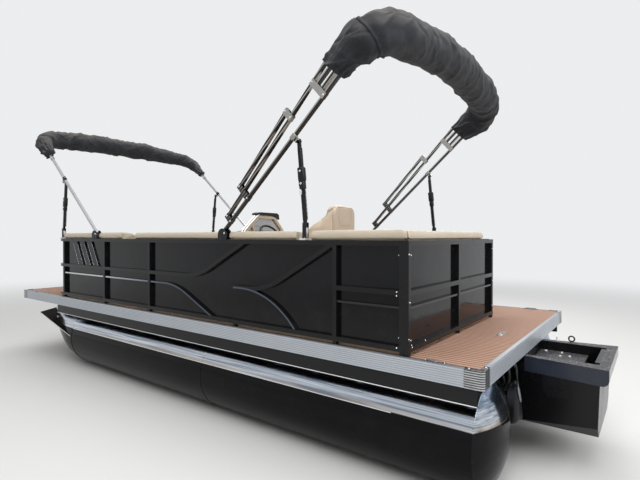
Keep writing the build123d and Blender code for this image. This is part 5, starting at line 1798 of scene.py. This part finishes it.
class BOAT_OT_helm(bpy.types.Operator):
    """Fit out the console: gauges, switches, throttle, cowl and edges"""
    bl_idname = "boat.helm"
    bl_label = "Helm"

    def execute(self, context):
        slope = (DASH_HIGH - DASH_LOW).normalized()
        way = Vector((-slope.z, 0, slope.x))
        middle = (DASH_LOW + DASH_HIGH) / 2
        dials = [gauge(size, onto(middle + Vector((0, y, 0)), way)) for y, size in GAUGES]
        place("helm_gauges", joined("helm_gauges", dials), "hull")

        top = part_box("helm_console")[1][2]
        cowl = prism("cowl", [(y, top + rise) for y, rise in COWL], 0, *COWL_DEPTH, 0.004)
        steep = (DASH_LOW - CONSOLE_KNEE).normalized()
        turn = Matrix((Vector((0, -1, 0)), steep, Vector((-steep.z, 0, steep.x)))).transposed().to_4x4()
        spot = CONSOLE_KNEE + steep * 0.12
        switches = self.switches(Matrix.Translation(spot + Vector((0, SWITCH_Y, 0))) @ turn)
        throttle = self.throttle(Matrix.Translation(spot + Vector((0, THROTTLE_Y, 0))) @ turn)
        parts = [wearing(cowl, "plastic"), switches, throttle]
        place("helm_controls", joined("helm_controls", parts), "hull")

        edges = [bead("arch_edge", path_mesh(smoothed(line, 4)), 0.010, "chrome", 0.02)
                 for line in ARCH_EDGES]
        place("helm_edges", joined("helm_edges", edges), "hull")
        return {"FINISHED"}

    def switches(self, where):
        """A plate with four rocker switches."""
        keys = [rounded_box("plate", (-0.060, -0.028, -0.001), (0.060, 0.028, 0.006), 0.003)]
        for step in range(4):
            x = -0.042 + 0.028 * step
            keys.append(rounded_box("key", (x - 0.008, -0.016, 0.004), (x + 0.008, 0.016, 0.011), 0.002))
        whole = joined("switches", [wearing(mesh, "plastic") for mesh in keys])
        whole.transform(where)
        return whole

    def throttle(self, where):
        """A side-mounted throttle: base, drum and lever with its grip."""
        base = rounded_box("base", (-0.030, -0.062, -0.001), (0.030, 0.062, 0.020), 0.008, 3)
        drum = lathe("drum", [(0.0, 0.034), (0.020, 0.033), (0.027, 0.026), (0.028, 0.0)], 24,
                     Matrix.Translation((0, -0.012, 0.012)))
        outline = [(-0.020, 0.036), (0.096, 0.058), (0.098, 0.070), (-0.010, 0.056)]
        arm = prism("arm", outline, 0, -0.007, 0.007)
        grip = rounded_box("grip", (-0.046, 0.082, 0.050), (0.014, 0.108, 0.078), 0.011, 3)
        looks = ((base, "plastic"), (drum, "plastic"), (arm, "chrome"), (grip, "plastic"))
        whole = joined("throttle", [wearing(mesh, look) for mesh, look in looks])
        whole.transform(where)
        return whole


# Fittings of the folded tops

BRACE_AT = 1.000
BRACE_DROP = 0.040
BRACE_Y = 1.149
LOCK_NEAR = 0.200
LOCK_FAR = 0.330
RIB_PITCH = 0.0095
BRACE_PARTS = (
    # half width, half width across the boat, near and far end from the pin, radius
    (0.014, 0.014, 0.050, 0.192, 0.004),
    (0.027, 0.020, 0.190, 0.292, 0.009),
    (0.021, 0.018, 0.288, 0.350, 0.006),
)
BRACE_FOOT_Z = 1.627
RIBS_FROM = 0.356
RIBS_SHORT = 0.048
ARM_FACE = 0.0175
ARM_HALF = 0.0125
CLAMP_LENGTH = 0.050
GASKET_DROP = 0.0131
PLATE_BOLTS = {
    # place along the arm, levels above it
    "rear": ((0.115, (0, 0.058)), (0.375, (0, 0.132)), (1.075, (0.118, 0.188)), (1.365, (0, 0.144))),
    "front": ((1.440, (0,)),),
}
FORK_COVERS = (
    # inner and outer face from the centreline
    (1.1942, 1.2050),
    (1.1430, 1.1538),
)
FORK_HALF = 0.052
FORK_MIDDLE = 1.572
FORK_FOOT = 1.5335
FOOT_SCREW_Y = 1.1855
FOOT_SCREW_LEVEL = 1.5458


def brace_line(pivot_x, lean, sign, shift):
    """Where a brace's pin and its foot sit, without their places across the boat."""
    along, up = top_axes(lean, sign)
    pin = Vector((pivot_x, 0, PIVOT_Z)) + along * BRACE_AT - up * BRACE_DROP
    return pin, Vector((pin.x + shift, 0, BRACE_FOOT_Z))


def brace_fittings(name, pin, foot, side):
    """A brace's sleeve, lock, collar and ribs, with its bolts and tag."""
    down = (foot - pin).normalized()
    fore = Vector((-down.z, 0, down.x))
    turn = Matrix((fore, Vector((0, 1, 0)), -down)).transposed().to_4x4()
    outer = side * (BRACE_Y + 0.018)
    parts = []
    for half, half_y, near, far, radius in BRACE_PARTS:
        part = rounded_box("part", (-half, -half_y, -far), (half, half_y, -near), radius, 2)
        part.transform(Matrix.Translation((pin.x, side * (BRACE_Y - 0.003), pin.z)) @ turn)
        parts.append(wearing(part, "plastic"))
    rib = rounded_box("rib", (-0.5, -0.5, -0.12), (0.5, 0.5, 0.12), 0.08, 1)
    spots = []
    for reach in np.arange(RIBS_FROM, (foot - pin).length - RIBS_SHORT, RIB_PITCH):
        spot = pin + down * reach
        spots.append(((spot.x, side * (BRACE_Y - 0.005), spot.z), tuple(-down)))
    ribs = heads("ribs", rib, spots, 0.031, "plastic")
    spots = []
    for reach in (LOCK_NEAR + 0.020, LOCK_FAR - 0.020):
        spot = pin + down * reach
        spots.append(((spot.x, outer, spot.z), (0, side, 0)))
    bolts = heads("bolts", hex_head(), spots, 0.017, "stainless")
    tag_at = pin + down * (LOCK_FAR + 0.040) + fore * 0.012
    tag = rounded_box("tag", (-0.010, -0.0008, -0.018), (0.010, 0.0012, 0.018), 0.0007, 2)
    tag.transform(Matrix.Translation((tag_at.x, side * (BRACE_Y + 0.0125), tag_at.z)) @ turn)
    return joined(name, parts + [ribs, bolts, wearing(tag, "enamel")])


def clamp(spot, along, look):
    """A clamp round a square arm: body, ears and their screw."""
    half, reach, outer = ARM_HALF, CLAMP_LENGTH / 2, ARM_HALF + 0.005
    body = rounded_box("body", (-reach, -outer, -outer), (reach, outer, outer), 0.004, 2)
    ear = rounded_box("ear", (0.003 - reach, -0.006, half), (reach - 0.003, 0.006, half + 0.016), 0.003, 2)
    turn = Matrix((along, Vector((0, 1, 0)), along.cross(Vector((0, 1, 0))))).transposed().to_4x4()
    spots = [((0, side * 0.006, half + 0.009), (0, side, 0)) for side in (1, -1)]
    screw = heads("screw", pan_head(), spots, 0.010, "stainless")
    whole = joined("clamp", [wearing(body, look), wearing(ear, look), screw])
    whole.transform(Matrix.Translation(spot) @ turn)
    return whole


def fork_plates(x, side):
    """The D-shaped moulded covers either side of a fork."""
    outline = [(x - FORK_HALF, FORK_FOOT), (x + FORK_HALF, FORK_FOOT)]
    outline += [(x + FORK_HALF * math.cos(t), FORK_MIDDLE + FORK_HALF * math.sin(t))
                for t in np.linspace(0, math.pi, 17)]
    plates = [prism("plate", outline, 1, side * near, side * far, 0.003) for near, far in FORK_COVERS]
    spots = [((x - 0.030, side * FORK_COVERS[0][1], FORK_MIDDLE + 0.013), (0, side, 0))]
    bolt = heads("bolt", hex_head(), spots, 0.016, "stainless")
    return [wearing(plate, "plastic") for plate in plates] + [bolt]


class BOAT_OT_tops(bpy.types.Operator):
    """Clamps, locks, caps and screws of the folded tops"""
    bl_idname = "boat.tops"
    bl_label = "Top fittings"

    def execute(self, context):
        fixed = []
        for name, pivot_x, lean, sign, shift in TOPS:
            along, up = top_axes(lean, sign)
            origin = Vector((pivot_x, 0, PIVOT_Z))
            pin, foot = brace_line(pivot_x, lean, sign, shift)
            moving = []
            for side, word in ((1, "port"), (-1, "starboard")):
                piece = f"{name}_brace_{word}"
                place(piece + "_fittings", brace_fittings(piece, pin, foot, side), piece)
                arm_y = side * ARM_Y
                spots = []
                for reach, levels in PLATE_BOLTS[name]:
                    for level in levels:
                        spot = origin + along * reach + up * level
                        spots.append(((spot.x, arm_y + side * ARM_FACE, spot.z), (0, side, 0)))
                moving.append(heads("plate_bolts", hex_head(), spots, 0.015, "stainless"))
                spot = origin + along * BRACE_AT
                look = "bracket" if name == "rear" else "plastic"
                moving.append(clamp((spot.x, arm_y, spot.z), along, look))
                if name == "front":
                    under = [origin + along * s - up * GASKET_DROP for s in np.linspace(0.06, 1.40, 24)]
                    strip = path_mesh([(p.x, arm_y, p.z) for p in under])
                    moving.append(bead("gasket", strip, 0.005, "plastic", 0.03))
                fixed += fork_plates(pivot_x, side)
                spots = [((foot.x + shift_x, side * FOOT_SCREW_Y, FOOT_SCREW_LEVEL), (0, 0, 1))
                         for shift_x in (-0.020, 0.020)]
                fixed.append(heads("foot_screws", pan_head(), spots, 0.009, "stainless"))
            place(f"{name}_top_fittings", joined(f"{name}_top_fittings", moving), f"{name}_bimini")
        place("rail_fittings", joined("rail_fittings", fixed), "hull")
        return {"FINISHED"}


# Panel, registration and run

STEPS = ("finishes", "cushions", "boots", "tubes", "fence", "deck", "pod", "helm", "tops", "stage")


class BOAT_PT_panel(bpy.types.Panel):
    """Lists the boat's operators"""
    bl_label = "Pontoon boat"
    bl_idname = "BOAT_PT_panel"
    bl_space_type = "VIEW_3D"
    bl_region_type = "UI"
    bl_category = "Boat"

    def draw(self, context):
        for step in STEPS:
            self.layout.operator(f"boat.{step}")
        for settings in (context.scene.boat_colours, context.scene.boat_sizes):
            for key in settings.__annotations__:
                self.layout.prop(settings, key)


CLASSES = (
    BoatColours,
    BoatSizes,
    BOAT_OT_finishes,
    BOAT_OT_cushions,
    BOAT_OT_boots,
    BOAT_OT_tubes,
    BOAT_OT_fence,
    BOAT_OT_deck,
    BOAT_OT_pod,
    BOAT_OT_helm,
    BOAT_OT_tops,
    BOAT_OT_stage,
    BOAT_PT_panel,
)


def register():
    for cls in CLASSES:
        bpy.utils.register_class(cls)
    bpy.types.Scene.boat_colours = bpy.props.PointerProperty(type=BoatColours)
    bpy.types.Scene.boat_sizes = bpy.props.PointerProperty(type=BoatSizes)


def unregister():
    del bpy.types.Scene.boat_sizes
    del bpy.types.Scene.boat_colours
    for cls in reversed(CLASSES):
        bpy.utils.unregister_class(cls)


def main():
    """Register the add-on and run every step."""
    register()
    for step in STEPS:
        getattr(bpy.ops.boat, step)()


if __name__ == "__main__":
    main()
